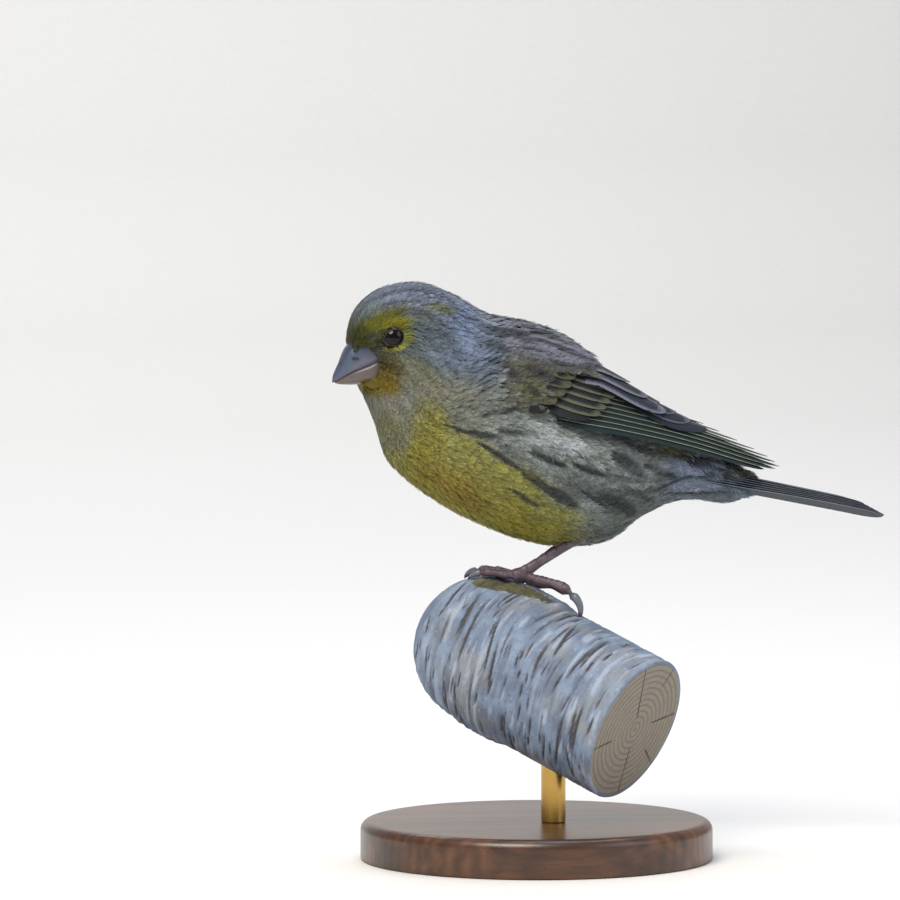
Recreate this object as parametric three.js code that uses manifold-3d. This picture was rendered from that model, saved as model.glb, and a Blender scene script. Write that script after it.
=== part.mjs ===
// A wild canary, perched on the rounded end of a short cut branch, which a plain stand holds up. Life size.
// Millimetres, +Z up. The bird faces -X and shows its left side to -Y. The origin is the middle of the stand's underside.
import * as THREE from "three";
import { mergeVertices } from "three/addons/utils/BufferGeometryUtils.js";
import Module from "manifold-3d";

const wasm = await Module();
wasm.setup();

// Driving dimensions. Everything of the bird and its perch is measured from the level where the toes stand.
const GAP = 0.3; // between pieces that touch
const SOLE_HEIGHT = 58; // the toes' level above the ground
const WING_LENGTH = 69.5; // from the wrist to the tip of the longest primary
const TAIL_LENGTH = 55;
const TAIL_ROOT = new THREE.Vector3(23, 0, 22.6);
const TAIL_SLOPE = 12.7; // degrees below level
const EYE_RADIUS = 2.9;
const EYE_SINK = 2.0; // how deep the middle of the eyeball lies under the feathers
const TARSUS_THICKNESS = 2.1;
const PERCH_RADIUS = 15.3;
const PERCH_LENGTH = 38; // from the middle of the domed end to the cut
const BASE_RADIUS = 36;
const BASE_HEIGHT = 8;
const ROD_RADIUS = 2.5;

const degrees = THREE.MathUtils.degToRad;
const mix = THREE.MathUtils.lerp;
const smooth = THREE.MathUtils.smoothstep;
const point = (x, y, z) => new THREE.Vector3(x, y, z);

// Solids

// A closed geometry as a solid with its faces pointing out.
function solidOf(geometry) {
  const bare = new THREE.BufferGeometry().setAttribute("position", geometry.getAttribute("position"));
  bare.setIndex(geometry.index);
  const merged = mergeVertices(bare, 1e-4);
  const vertProperties = new Float32Array(merged.attributes.position.array);
  const corners = [];
  for (let i = 0; i < merged.index.count; i += 3) {
    const [a, b, c] = [0, 1, 2].map((k) => merged.index.getX(i + k));
    if (a !== b && b !== c && a !== c) corners.push(a, b, c);
  }
  const build = (list) =>
    new wasm.Manifold(new wasm.Mesh({ numProp: 3, vertProperties, triVerts: new Uint32Array(list) }));
  const made = build(corners);
  if (made.volume() > 0) return made;
  const turned = [];
  for (let i = 0; i < corners.length; i += 3) turned.push(corners[i], corners[i + 2], corners[i + 1]);
  return build(turned);
}

const fuse = (solids) => solids.reduce((all, next) => all.add(next));

// The largest closed surface of a solid, which fills sealed hollows and drops loose scraps.
function largest(solid) {
  return solid.decompose().reduce((best, next) => (next.volume() > best.volume() ? next : best));
}

const mirrored = (solid) => solid.mirror([0, 1, 0]);

// The side of a solid that lies along a direction from a point, less half a gap.
function sideOf(solid, at, direction) {
  const n = direction.clone().normalize();
  return solid.trimByPlane(n.toArray(), n.dot(at) + GAP / 2);
}

// A solid's surface as a geometry with normals.
function geometryOf(solid) {
  const { vertProperties, triVerts, numProp } = solid.getMesh();
  const positions = new Float32Array((vertProperties.length / numProp) * 3);
  for (let i = 0; i < positions.length / 3; i++) {
    positions.set(vertProperties.subarray(i * numProp, i * numProp + 3), i * 3);
  }
  const geometry = new THREE.BufferGeometry().setAttribute("position", new THREE.BufferAttribute(positions, 3));
  geometry.setIndex(new THREE.BufferAttribute(new Uint32Array(triVerts), 1));
  geometry.computeVertexNormals();
  return geometry;
}

// A smooth solid with every vertex moved out along its normal.
function grownBy(solid, grow) {
  const geometry = geometryOf(solid);
  const positions = geometry.getAttribute("position");
  const normals = geometry.getAttribute("normal");
  for (let i = 0; i < positions.count; i++) {
    const p = point().fromBufferAttribute(positions, i);
    p.addScaledVector(point().fromBufferAttribute(normals, i), grow);
    positions.setXYZ(i, ...p.toArray());
  }
  return solidOf(geometry);
}

function meshOf(name, solid, material) {
  const mesh = new THREE.Mesh(geometryOf(largest(solid)), material);
  mesh.name = name;
  return mesh;
}

// A sphere's vertices moved by place(along 0 to 1, angle round), so that the result is closed and has two poles.
function ballOf(place, around, along) {
  const geometry = new THREE.SphereGeometry(1, around, along);
  const positions = geometry.getAttribute("position");
  for (let i = 0; i < positions.count; i++) {
    const v = point().fromBufferAttribute(positions, i);
    const t = Math.acos(THREE.MathUtils.clamp(v.y, -1, 1)) / Math.PI;
    const angle = t < 1e-6 || t > 1 - 1e-6 ? 0 : Math.atan2(v.z, v.x);
    positions.setXYZ(i, ...place(t, angle).toArray());
  }
  return solidOf(geometry);
}

// A thin plate over place(across -1 to 1, along 0 to 1, face 1 or -1), with both faces split into like triangles.
function plateOf(place, across, along) {
  const plane = new THREE.PlaneGeometry(2, 1, across, along);
  const flat = plane.getAttribute("position");
  const count = flat.count;
  const positions = new Float32Array(count * 6);
  for (const face of [1, -1]) {
    for (let i = 0; i < count; i++) {
      const p = place(flat.getX(i), flat.getY(i) + 0.5, face);
      positions.set(p.toArray(), (face === 1 ? i : i + count) * 3);
    }
  }
  const index = [];
  for (let i = 0; i < plane.index.count; i += 3) {
    const [a, b, c] = [0, 1, 2].map((k) => plane.index.getX(i + k));
    index.push(a, b, c, a + count, c + count, b + count);
  }
  const row = across + 1;
  const rim = [];
  for (let i = 0; i < across; i++) rim.push(i);
  for (let j = 0; j < along; j++) rim.push(j * row + across);
  for (let i = across; i > 0; i--) rim.push(along * row + i);
  for (let j = along; j > 0; j--) rim.push(j * row);
  rim.forEach((a, k) => {
    const b = rim[(k + 1) % rim.length];
    index.push(a, b, a + count, b, b + count, a + count);
  });
  const geometry = new THREE.BufferGeometry().setAttribute("position", new THREE.BufferAttribute(positions, 3));
  geometry.setIndex(index);
  return solidOf(geometry);
}

// A limb along points, its radius read from radii, with round ends. Flatness is its width over its depth.
function limbOf(points, radii, { around = 10, along = 12, flatness = 1 } = {}) {
  const path = new THREE.CatmullRomCurve3(points);
  const thickness = new THREE.CatmullRomCurve3(radii.map((r, i) => point(i, r, 0)));
  return ballOf(
    (t, angle) => {
      const forward = path.getTangent(t);
      const side = point(0, 1, 0).addScaledVector(forward, -forward.y).normalize();
      const up = point().crossVectors(forward, side);
      const round = Math.min(1, 2.2 * Math.sin(Math.PI * t));
      const radius = thickness.getPoint(t).y * round;
      return path
        .getPoint(t)
        .addScaledVector(side, radius * flatness * Math.cos(angle))
        .addScaledVector(up, radius * Math.sin(angle));
    },
    around,
    along,
  );
}

// Body

// A rib is a cross-section that leans from its top to its bottom in the bird's middle plane.
const rib = (topX, topZ, bottomX, bottomZ, halfWidth) => ({ topX, topZ, bottomX, bottomZ, halfWidth });

// A body lofted over ribs, as a place for each share of its length and each angle round it.
function loftOver(ribs) {
  const top = new THREE.CatmullRomCurve3(ribs.map((r) => point(r.topX, r.halfWidth, r.topZ)));
  const bottom = new THREE.CatmullRomCurve3(ribs.map((r) => point(r.bottomX, r.halfWidth, r.bottomZ)));
  return (t, angle) => {
    const crest = top.getPoint(t);
    const keel = bottom.getPoint(t);
    const aside = Math.max(0, crest.y) * Math.cos(angle);
    return crest.lerp(keel, 0.5 - 0.5 * Math.sin(angle)).setY(aside);
  };
}

// From the rim of the bill back over crown, nape, back and rump, to where the tail coverts end.
const BODY_RIBS = [
  rib(-33.2, 43.1, -33.2, 43.1, 0),
  rib(-35.2, 46.7, -32.1, 39.1, 4.0),
  rib(-33.6, 54.3, -31.3, 36.0, 7.4),
  rib(-28.6, 58.6, -30.2, 33.3, 8.7),
  rib(-20.7, 59.9, -29.2, 30.6, 9.6),
  rib(-13.1, 57.3, -28.1, 26.9, 11.3),
  rib(-6.0, 53.3, -26.5, 23.2, 14.0),
  rib(2.0, 51.7, -20.7, 17.9, 16.8),
  rib(10.5, 48.4, -9.5, 11.2, 17.7),
  rib(18.2, 41.7, 5.0, 6.1, 16.4),
  rib(24.0, 34.8, 18.2, 6.4, 12.6),
  rib(29.0, 29.6, 26.4, 11.7, 8.2),
  rib(37.0, 24.6, 35.0, 14.8, 5.2),
  rib(45.3, 20.4, 44.9, 14.0, 3.6),
  rib(51.5, 17.0, 51.5, 17.0, 0),
];
const body = loftOver(BODY_RIBS);

// The joints between the body's parts, as a point in the middle plane and the way the part behind them lies.
const NECK_FRONT = { at: point(-22.0, 0, 44.5), away: point(0.9, 0, -0.43) };
const NECK_BACK = { at: point(-15.5, 0, 39.0), away: point(0.79, 0, -0.61) };
const LOIN = { at: point(21.0, 0, 21.0), away: point(0.98, 0, -0.2) };
const TAIL_BASE = { at: point(33.0, 0, 20.0), away: point(0.97, 0, -0.22) };
const ahead = (solid, joint) => sideOf(solid, joint.at, joint.away.clone().negate());
const behind = (solid, joint) => sideOf(solid, joint.at, joint.away);

// Head

const EYE_AT = point(-27.1, -8.6 + EYE_SINK, 49.1);
const eyeBall = (radius) => {
  const geometry = new THREE.SphereGeometry(radius, 16, 12).rotateX(Math.PI / 2);
  return solidOf(geometry.translate(...EYE_AT.toArray()));
};

// The lids: one soft ring round the opening, lying on the feathers.
function lidRing() {
  const opening = Math.sqrt(EYE_RADIUS ** 2 - EYE_SINK ** 2);
  const geometry = new THREE.TorusGeometry(opening + 0.35, 0.55, 6, 18)
    .rotateX(Math.PI / 2)
    .scale(1.08, 1, 0.92)
    .translate(EYE_AT.x, EYE_AT.y - EYE_SINK + 0.1, EYE_AT.z);
  return solidOf(geometry);
}

// The bill: two cones that meet along the line of the mouth.
const upperBill = loftOver([
  rib(-28.0, 46.5, -28.0, 46.5, 0),
  rib(-31.5, 49.6, -28.8, 43.9, 4.0),
  rib(-35.3, 46.7, -31.5, 42.7, 3.8),
  rib(-37.0, 43.4, -34.3, 41.7, 2.7),
  rib(-38.1, 41.0, -36.9, 40.3, 1.3),
  rib(-38.3, 39.5, -38.3, 39.5, 0),
]);
const lowerBill = loftOver([
  rib(-28.0, 40.5, -28.0, 40.5, 0),
  rib(-28.9, 43.5, -30.0, 38.6, 3.9),
  rib(-31.7, 42.3, -32.6, 39.1, 3.5),
  rib(-34.4, 41.3, -34.9, 39.2, 2.4),
  rib(-36.8, 40.1, -37.0, 39.3, 1.1),
  rib(-37.8, 39.4, -37.8, 39.4, 0),
]);
const NOSTRIL = { at: point(-34.0, 3.0, 45.6), radius: 0.55 };

function nostril(side) {
  const geometry = new THREE.SphereGeometry(NOSTRIL.radius, 8, 6).scale(1.4, 1.4, 0.8);
  return solidOf(geometry.translate(NOSTRIL.at.x, side * NOSTRIL.at.y, NOSTRIL.at.z));
}

function headParts(whole, grown) {
  const opened = ahead(whole, NECK_FRONT);
  const lids = lidRing();
  const sockets = eyeBall(EYE_RADIUS + GAP);
  const cone = ballOf(upperBill, 16, 10);
  const upper = cone.subtract(grown).subtract(nostril(-1)).subtract(nostril(1));
  const lower = ballOf(lowerBill, 16, 10).subtract(grown).subtract(grownBy(cone, GAP));
  return {
    head: fuse([opened, lids, mirrored(lids)]).subtract(sockets).subtract(mirrored(sockets)),
    upper,
    lower,
  };
}

// Wings

// The folded left wing as a shell between its lower and its upper edge, from the wrist to the tip.
const LOWER_EDGE = [
  point(-14, -14.5, 37.0),
  point(1.0, -18.2, 31.4),
  point(16.7, -17.0, 29.0),
  point(33.4, -11.0, 26.0),
  point(55.0, -4.8, 20.6),
];
const UPPER_EDGE = [
  point(-4.5, -7.0, 52.2),
  point(8.0, -4.6, 49.2),
  point(21.5, -3.4, 41.6),
  point(36.0, -3.0, 34.2),
  point(55.5, -2.6, 24.6),
];
const WING_BULGE = 3.6;
const lowerEdge = new THREE.CatmullRomCurve3(LOWER_EDGE);
const upperEdge = new THREE.CatmullRomCurve3(UPPER_EDGE);

// A place on the wing: along from 0 at the wrist to 1 at the tip, millimetres above the lower edge, and lift off the shell.
// The wrist and the upper edge sink into the feathers of the shoulder.
function wingAt(along, above, lift) {
  const shell = (a, m) => {
    const low = lowerEdge.getPoint(a);
    const high = upperEdge.getPoint(a);
    const share = m / low.distanceTo(high);
    const bulge = WING_BULGE * (1 - 0.9 * smooth(a, 0.35, 1)) * 4 * share * (1 - share);
    return low.lerp(high, share).add(point(0, -0.8 * bulge, 0.5 * bulge));
  };
  const a = THREE.MathUtils.clamp(along, 0.002, 0.998);
  const here = shell(a, above);
  const forward = shell(a + 0.002, above).sub(shell(a - 0.002, above));
  const upward = shell(a, above + 0.1).sub(shell(a, above - 0.1));
  const out = point().crossVectors(upward, forward).normalize();
  if (out.y > 0) out.negate();
  const share = above / lowerEdge.getPoint(a).distanceTo(upperEdge.getPoint(a));
  const sunk = 2.6 * (1 - smooth(a, 0, 0.16)) + 1.9 * smooth(share, 0.6, 1) * (1 - smooth(a, 0.55, 0.85));
  const beyond = (along - a) * WING_LENGTH;
  return here.addScaledVector(forward.normalize(), beyond).addScaledVector(out, lift - sunk);
}

// The flight feathers and coverts of one wing. A tier is a stack of feathers, counted from the lower edge up: each one
// overlies the one before it, and its lower edge is raised over that one, as slates are. Above is where the middle of
// the first one runs, and pitch how far the next one lies above it.
const THICK = 0.5;
const APART = THICK + GAP + 0.06;
const TIERS = {
  flight: {
    tips: [0.965, 1.0, 0.97, 0.925, 0.875, 0.82, 0.75],
    root: 0.4,
    above: (a) => mix(1.9, 1.2, smooth(a, 0.4, 1)),
    pitch: () => 1.2,
    lift: (a) => -0.1 - 0.4 * smooth(a, 0.75, 1),
    tilt: 0.6,
    width: 3.1,
    sharp: 0.2,
    along: 5,
  },
  tertials: {
    tips: [0.7, 0.63, 0.55],
    root: 0.33,
    above: (a) => mix(12.6, 8.2, smooth(a, 0.36, 0.7)),
    pitch: (a) => mix(1.7, 2.1, smooth(a, 0.36, 0.6)),
    lift: (a) => mix(-0.6, 3.1, smooth(a, 0.33, 0.46)),
    tilt: 0.2,
    width: 6.2,
    sharp: 0.3,
    along: 5,
  },
  greaterCoverts: {
    tips: [0.45, 0.475, 0.5, 0.515],
    root: 0.2,
    above: (a) => mix(3.4, 2.3, smooth(a, 0.2, 0.5)),
    pitch: () => 2.0,
    lift: (a) => mix(0.2, 2.1, smooth(a, 0.2, 0.45)),
    tilt: 0.34,
    width: 3.9,
    sharp: 0.35,
    along: 4,
  },
  medianCoverts: {
    tips: [0.28, 0.3, 0.32, 0.335],
    root: 0.1,
    above: () => 4.0,
    pitch: () => 2.6,
    lift: (a) => mix(-0.2, 2.9, smooth(a, 0.08, 0.26)),
    tilt: 0.26,
    width: 4.6,
    sharp: 0.45,
    along: 4,
  },
};

function wingVane(tier, k) {
  return plateOf(
    (v, u, face) => {
      const a = mix(tier.root, tier.tips[k], u);
      const full = Math.sin(Math.PI * Math.min(0.5, 0.2 + 0.9 * u));
      const taper = Math.sqrt(Math.max(0, 1 - Math.max(0, (u - (1 - tier.sharp)) / tier.sharp) ** 2.4));
      const half = 0.5 * tier.width * full * Math.max(0.16, taper);
      const rank = APART - tier.tilt * tier.pitch(a);
      const above = tier.above(a) + k * tier.pitch(a) + v * half;
      const thin = u === 1 ? 0.25 : 0.5;
      const lift = tier.lift(a) + k * rank - tier.tilt * v * half;
      return wingAt(a, above, lift + face * thin * THICK);
    },
    2,
    tier.along,
  );
}

// The arm and hand that every feather of the wing is rooted in.
function wingArm() {
  return ballOf(
    (t, angle) => {
      const full = Math.cbrt(1 - Math.abs(2 * t - 1) ** 3);
      const above = mix(9.6, 8.6, t) + mix(8.4, 8.0, t) * full * Math.cos(angle);
      return wingAt(mix(0.03, 0.5, t), above, -0.5 + 2.0 * full * Math.sin(angle));
    },
    14,
    10,
  );
}

function wing(grown) {
  const vanes = Object.values(TIERS).flatMap((tier) => tier.tips.map((tip, k) => wingVane(tier, k)));
  return largest(fuse([wingArm(), ...vanes]).subtract(grown));
}

// Tail

const TAIL_FEATHERS_A_SIDE = 6;

// A place in the tail: millimetres along it from the root, to the side, and up.
function tailAt(along, aside, up) {
  const slope = degrees(TAIL_SLOPE);
  return point(along, aside, up)
    .applyAxisAngle(point(0, 1, 0), slope)
    .add(TAIL_ROOT);
}

// One tail feather. Rank 0 is the middle pair, on top, and each next one lies lower and further out.
function tailVane(rank, side) {
  const length = TAIL_LENGTH - 4 + 0.8 * Math.min(rank, 4) + (rank === 5 ? -0.6 : 0);
  const tilt = 0.45;
  return plateOf(
    (v, u, face) => {
      const reach = mix(9, length, u);
      const open = smooth(reach, 5, 50);
      const pitch = mix(0.25, 1.05, open);
      const shaft = mix(1.75, 2.75, open) + pitch * rank;
      const full = Math.sin(Math.PI * Math.min(0.5, 0.2 + 0.6 * u));
      const taper = Math.sqrt(Math.max(0, 1 - Math.max(0, (u - 0.88) / 0.12) ** 2.2));
      const half = Math.min(2.45, mix(1.75, 2.75, open) - 0.2) * full * Math.max(0.2, taper);
      const up = 1.7 - (APART - tilt * pitch) * rank + tilt * v * half;
      return tailAt(reach, side * (shaft + v * half), up + 0.5 * face * THICK * (u === 1 ? 0.5 : 1));
    },
    2,
    4,
  );
}

// The tail feathers, and round their roots the upper and under coverts.
function tail() {
  const coverts = behind(ballOf(body, 20, 36), TAIL_BASE);
  const vanes = [];
  for (const side of [-1, 1]) {
    for (let rank = 0; rank < TAIL_FEATHERS_A_SIDE; rank++) {
      vanes.push(behind(tailVane(rank, side), TAIL_BASE));
    }
  }
  return fuse([coverts, ...vanes]);
}

// Perch

const PERCH_END = point(-5.8, 0, -15.7); // middle of the dome
const PERCH_AXIS = point(0.656, -0.656, -0.375).normalize();
const SWELLING = 0.7; // the stub is thicker behind its dome
const RING_SPACING = 3.4;
const RING_DEPTH = 0.7;
const SCAR = { at: point(-3.0, -8.6, -1.1), along: point(19, -11, -5), length: 12, width: 4.6, depth: 1.2 };

const perchGirth = (t) => PERCH_RADIUS + SWELLING * smooth(t, -1, 4) * (1 - smooth(t, 10, 14));

function perchBody(grow) {
  const profile = [];
  const domeSteps = 7;
  for (let i = 0; i <= domeSteps; i++) {
    const angle = (i / domeSteps) * (Math.PI / 2);
    const radius = PERCH_RADIUS + grow;
    profile.push(new THREE.Vector2(i === 0 ? 0 : radius * Math.sin(angle), -radius * Math.cos(angle)));
  }
  const ringSteps = 22;
  for (let i = 1; i <= ringSteps; i++) {
    const t = (i / ringSteps) * PERCH_LENGTH;
    profile.push(new THREE.Vector2(perchGirth(t) + grow, i === ringSteps ? t + grow : t));
  }
  profile.push(new THREE.Vector2(0, PERCH_LENGTH + grow));
  const geometry = new THREE.LatheGeometry(profile, 28);
  const positions = geometry.getAttribute("position");
  for (let i = 0; i < positions.count; i++) {
    const v = point().fromBufferAttribute(positions, i);
    const angle = Math.atan2(v.z, v.x);
    const wave = v.y + 0.9 * Math.sin(angle + 0.4) + 0.35 * Math.sin(3 * angle + 1.7);
    const groove = 0.5 - 0.5 * Math.cos((2 * Math.PI * wave) / RING_SPACING);
    const shown = smooth(v.y, -14.8, -10) * (1 - smooth(v.y, PERCH_LENGTH - 2, PERCH_LENGTH));
    const shrink = 1 - (RING_DEPTH * shown * groove ** 2) / PERCH_RADIUS;
    positions.setXYZ(i, v.x * shrink, v.y, v.z * shrink);
  }
  const turn = new THREE.Quaternion().setFromUnitVectors(point(0, 1, 0), PERCH_AXIS);
  geometry.applyQuaternion(turn).translate(...PERCH_END.toArray());
  return solidOf(geometry);
}

// What stays of the perch under the bare strip along its top, where the bark is worn away.
function withoutScar(solid, grow) {
  const along = SCAR.along.clone().normalize();
  const from = PERCH_END.clone().addScaledVector(PERCH_AXIS, SCAR.at.clone().sub(PERCH_END).dot(PERCH_AXIS));
  const out = SCAR.at.clone().sub(from).normalize();
  const side = point().crossVectors(out, along).normalize();
  const turn = new THREE.Matrix4().makeBasis(along, out.crossVectors(along, side), side);
  const size = [SCAR.length, SCAR.depth, SCAR.width].map((r) => r - grow);
  const geometry = new THREE.SphereGeometry(1, 20, 8).scale(...size).applyMatrix4(turn);
  return solid.subtract(solidOf(geometry.translate(...SCAR.at.toArray())));
}

// The height of the perch's top under a point, found from its dome and its round side.
function perchTop(x, y) {
  const q = point(x - PERCH_END.x, y - PERCH_END.y, 0);
  const flat = q.dot(PERCH_AXIS);
  let rise = PERCH_RADIUS;
  for (let i = 0; i < 5; i++) {
    const t = flat + rise * PERCH_AXIS.z;
    if (t < 0) {
      rise = Math.sqrt(Math.max(0, PERCH_RADIUS ** 2 - q.lengthSq()));
    } else {
      const a = 1 - PERCH_AXIS.z ** 2;
      const b = -2 * flat * PERCH_AXIS.z;
      const c = q.lengthSq() - flat ** 2 - perchGirth(t) ** 2;
      rise = (-b + Math.sqrt(Math.max(0, b * b - 4 * a * c))) / (2 * a);
    }
  }
  return PERCH_END.z + rise;
}

// Legs and feet

const LEGS = {
  left: { foot: point(-0.4, -4.8, 0), ankle: point(15.4, -6.3, 9.6), inwards: 1 },
  right: { foot: point(1.7, 5.0, 0), ankle: point(17.4, 6.3, 9.8), inwards: -1 },
};
const FOOT_TURN = -38; // both feet turn to the ridge of the perch
const TOES = [
  { name: "hallux", turn: 180, length: 11.2, claw: 6.6, radius: 1.0, rise: 10, bend: 98, arch: 1.8 },
  { name: "inner", turn: -19, length: 7.8, claw: 3.6, radius: 0.84, rise: 12, bend: 70, arch: 0 },
  { name: "middle", turn: 0, length: 10.0, claw: 3.9, radius: 0.9, rise: 12, bend: 72, arch: 0 },
  { name: "outer", turn: 20, length: 8.2, claw: 3.6, radius: 0.82, rise: 12, bend: 70, arch: 0 },
];
const KNUCKLES = [1.05, 0.86, 1.06, 0.84, 1.0, 0.84];

// A toe's middle line: over the top of the perch, away from the foot, its length measured along the bark.
function toePath(toe, leg) {
  const turn = degrees(toe.turn * leg.inwards + FOOT_TURN);
  const way = point(-Math.cos(turn), -Math.sin(turn), 0);
  const step = toe.length / (KNUCKLES.length - 1);
  const at = leg.foot.clone();
  return KNUCKLES.map((_, i) => {
    const clear = toe.radius + GAP + mix(0.75, 0.1, smooth(i, 0, 2)) + toe.arch * smooth(i, 0, 4);
    const bark = perchTop(at.x, at.y);
    const ahead = perchTop(at.x + 0.2 * way.x, at.y + 0.2 * way.y);
    const slope = (ahead - bark) / 0.2;
    const tilt = Math.hypot(1, slope);
    const here = point(at.x - (clear * slope * way.x) / tilt, at.y - (clear * slope * way.y) / tilt, bark + clear / tilt);
    at.addScaledVector(way, step / tilt);
    return here;
  });
}

// A claw bends down from a toe's end to the bark.
function clawArc(toe, end, way) {
  const side = point().crossVectors(way, point(0, 0, 1)).normalize();
  const start = way.clone().applyAxisAngle(side, degrees(toe.rise));
  const radius = toe.claw / degrees(toe.bend);
  return [0, 0.25, 0.5, 0.75, 1].map((share) => {
    const angle = degrees(toe.bend * share);
    const down = start.clone().applyAxisAngle(side, -Math.PI / 2);
    const from = end.clone().addScaledVector(start, radius * Math.sin(angle) - 0.7);
    return from.addScaledVector(down, radius * (1 - Math.cos(angle)));
  });
}

function legParts(leg, perchGrown, bodyGrown) {
  const { foot, ankle } = leg;
  const centre = point(foot.x, foot.y, perchTop(foot.x, foot.y) + 2.0);
  const near = (x, z) => centre.clone().add(point(x, 0, z));
  const pad = limbOf([near(-1.7, -0.4), centre, near(1.8, -0.2)], [1.15, 1.35, 1.15], { around: 8, along: 6 });
  const toes = [];
  const claws = [];
  for (const toe of TOES) {
    const line = toePath(toe, leg);
    const end = line[line.length - 1];
    const way = end.clone().sub(line[line.length - 2]).normalize();
    const girths = KNUCKLES.map((k) => k * toe.radius);
    toes.push(sideOf(limbOf(line, girths, { around: 8, along: 11 }), end, way.clone().negate()));
    const girth = toe.radius * 0.8;
    const thin = [0.95, 0.86, 0.68, 0.44, 0.16].map((k) => k * girth);
    claws.push(sideOf(limbOf(clawArc(toe, end, way), thin, { around: 6, along: 7 }), end, way));
  }
  const lean = ankle.clone().sub(centre).normalize();
  const joint = centre.clone().addScaledVector(lean, 1.2);
  const shankLine = [joint.clone().addScaledVector(lean, -1.2), ...[0.33, 0.66, 1].map((s) => joint.clone().lerp(ankle, s))];
  const girths = [1.2, 0.98, 0.95, 1.3].map((k) => (k * TARSUS_THICKNESS) / 2);
  const shank = limbOf(shankLine, girths, { around: 10, along: 12, flatness: 0.82 });
  const footing = sideOf(pad, joint, lean.clone().negate());
  return {
    foot: fuse([footing, ...toes]).subtract(grownBy(shank, GAP)).subtract(perchGrown),
    tarsus: sideOf(shank, joint, lean).subtract(bodyGrown),
    claws: claws.map((claw) => claw.subtract(perchGrown)),
  };
}

// Stand

const BASE_AT = point(3, -6, 0);
const ROD_FROM = PERCH_END.clone().addScaledVector(PERCH_AXIS, 17);

function standRod(perchGrown) {
  const bottom = BASE_HEIGHT - SOLE_HEIGHT + GAP;
  const geometry = new THREE.CylinderGeometry(ROD_RADIUS, ROD_RADIUS, ROD_FROM.z - bottom, 24).rotateX(Math.PI / 2);
  const rod = solidOf(geometry.translate(ROD_FROM.x, ROD_FROM.y, (ROD_FROM.z + bottom) / 2));
  return rod.subtract(perchGrown);
}

// A turned disc with a rounded upper edge.
function standBase() {
  const edge = 2;
  const profile = [new THREE.Vector2(0, 0), new THREE.Vector2(BASE_RADIUS - 0.5, 0), new THREE.Vector2(BASE_RADIUS, 0.5)];
  for (let i = 0; i <= 4; i++) {
    const angle = (i / 4) * (Math.PI / 2);
    const x = BASE_RADIUS - edge + edge * Math.cos(angle);
    profile.push(new THREE.Vector2(x, BASE_HEIGHT - edge + edge * Math.sin(angle)));
  }
  profile.push(new THREE.Vector2(0, BASE_HEIGHT));
  const geometry = new THREE.LatheGeometry(profile, 36).rotateX(Math.PI / 2);
  return solidOf(geometry);
}

// Finishes

const finish = (color, roughness, metalness = 0) => new THREE.MeshStandardMaterial({ color, roughness, metalness });
const FINISH = {
  crown: finish("#6f7266", 0.9),
  nape: finish("#7c8288", 0.9),
  breast: finish("#8d8a2c", 0.9),
  rump: finish("#8a8c78", 0.9),
  wing: finish("#3d3b38", 0.8),
  tail: finish("#4a4845", 0.8),
  bill: finish("#8f8590", 0.45),
  eye: finish("#120d0b", 0.08),
  leg: finish("#6c5660", 0.6),
  claw: finish("#4a4650", 0.4),
  bark: finish("#a9a9ae", 0.85),
  brass: finish("#b08d4a", 0.35, 1),
  walnut: finish("#4b3020", 0.5),
};

// The whole specimen

const whole = ballOf(body, 38, 42);
const grown = grownBy(whole, GAP);
const perchGrown = withoutScar(perchBody(GAP), GAP);
const { head, upper, lower } = headParts(whole, grown);
const neck = ahead(behind(whole, NECK_FRONT), NECK_BACK);
const torso = ahead(behind(whole, NECK_BACK), LOIN);
const rump = ahead(behind(whole, LOIN), TAIL_BASE);
const leftWing = wing(grown);

const specimen = new THREE.Group();
specimen.position.z = SOLE_HEIGHT;
specimen.add(
  meshOf("head", head, FINISH.crown),
  meshOf("bill_upper", upper, FINISH.bill),
  meshOf("bill_lower", lower, FINISH.bill),
  meshOf("eye_left", eyeBall(EYE_RADIUS), FINISH.eye),
  meshOf("eye_right", mirrored(eyeBall(EYE_RADIUS)), FINISH.eye),
  meshOf("neck", neck, FINISH.nape),
  meshOf("torso", torso, FINISH.breast),
  meshOf("rump", rump, FINISH.rump),
  meshOf("wing_left", leftWing, FINISH.wing),
  meshOf("wing_right", mirrored(leftWing), FINISH.wing),
  meshOf("tail", tail(), FINISH.tail),
  meshOf("perch", withoutScar(perchBody(0), 0), FINISH.bark),
);
for (const [side, leg] of Object.entries(LEGS)) {
  const { tarsus, foot, claws } = legParts(leg, perchGrown, grown);
  specimen.add(meshOf(`tarsus_${side}`, tarsus, FINISH.leg), meshOf(`foot_${side}`, foot, FINISH.leg));
  claws.forEach((claw, i) => specimen.add(meshOf(`claw_${TOES[i].name}_${side}`, claw, FINISH.claw)));
}

const stand = new THREE.Group();
stand.add(meshOf("stand_base", standBase(), FINISH.walnut));
specimen.add(meshOf("stand_rod", standRod(perchGrown), FINISH.brass));

// The origin is under the middle of the base, so the specimen moves to stand over it.
specimen.position.x = -BASE_AT.x;
specimen.position.y = -BASE_AT.y;

const canary = new THREE.Group();
canary.add(specimen, stand);

export default canary;
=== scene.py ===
"""A wild canary of life size on the rounded end of a cut branch, which a plain stand holds up.

Places and sizes are given in millimetres from the level where the toes stand, with the bird facing -X and its left
side to -Y. The solids of the frame stand over the middle of the base, so SHIFT moves every piece there.
"""

from __future__ import annotations

import logging
import math
from dataclasses import dataclass, field, replace
from enum import Enum
from typing import Callable, Sequence

import bmesh
import bpy
import numpy as np
from mathutils import Matrix, Vector

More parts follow.
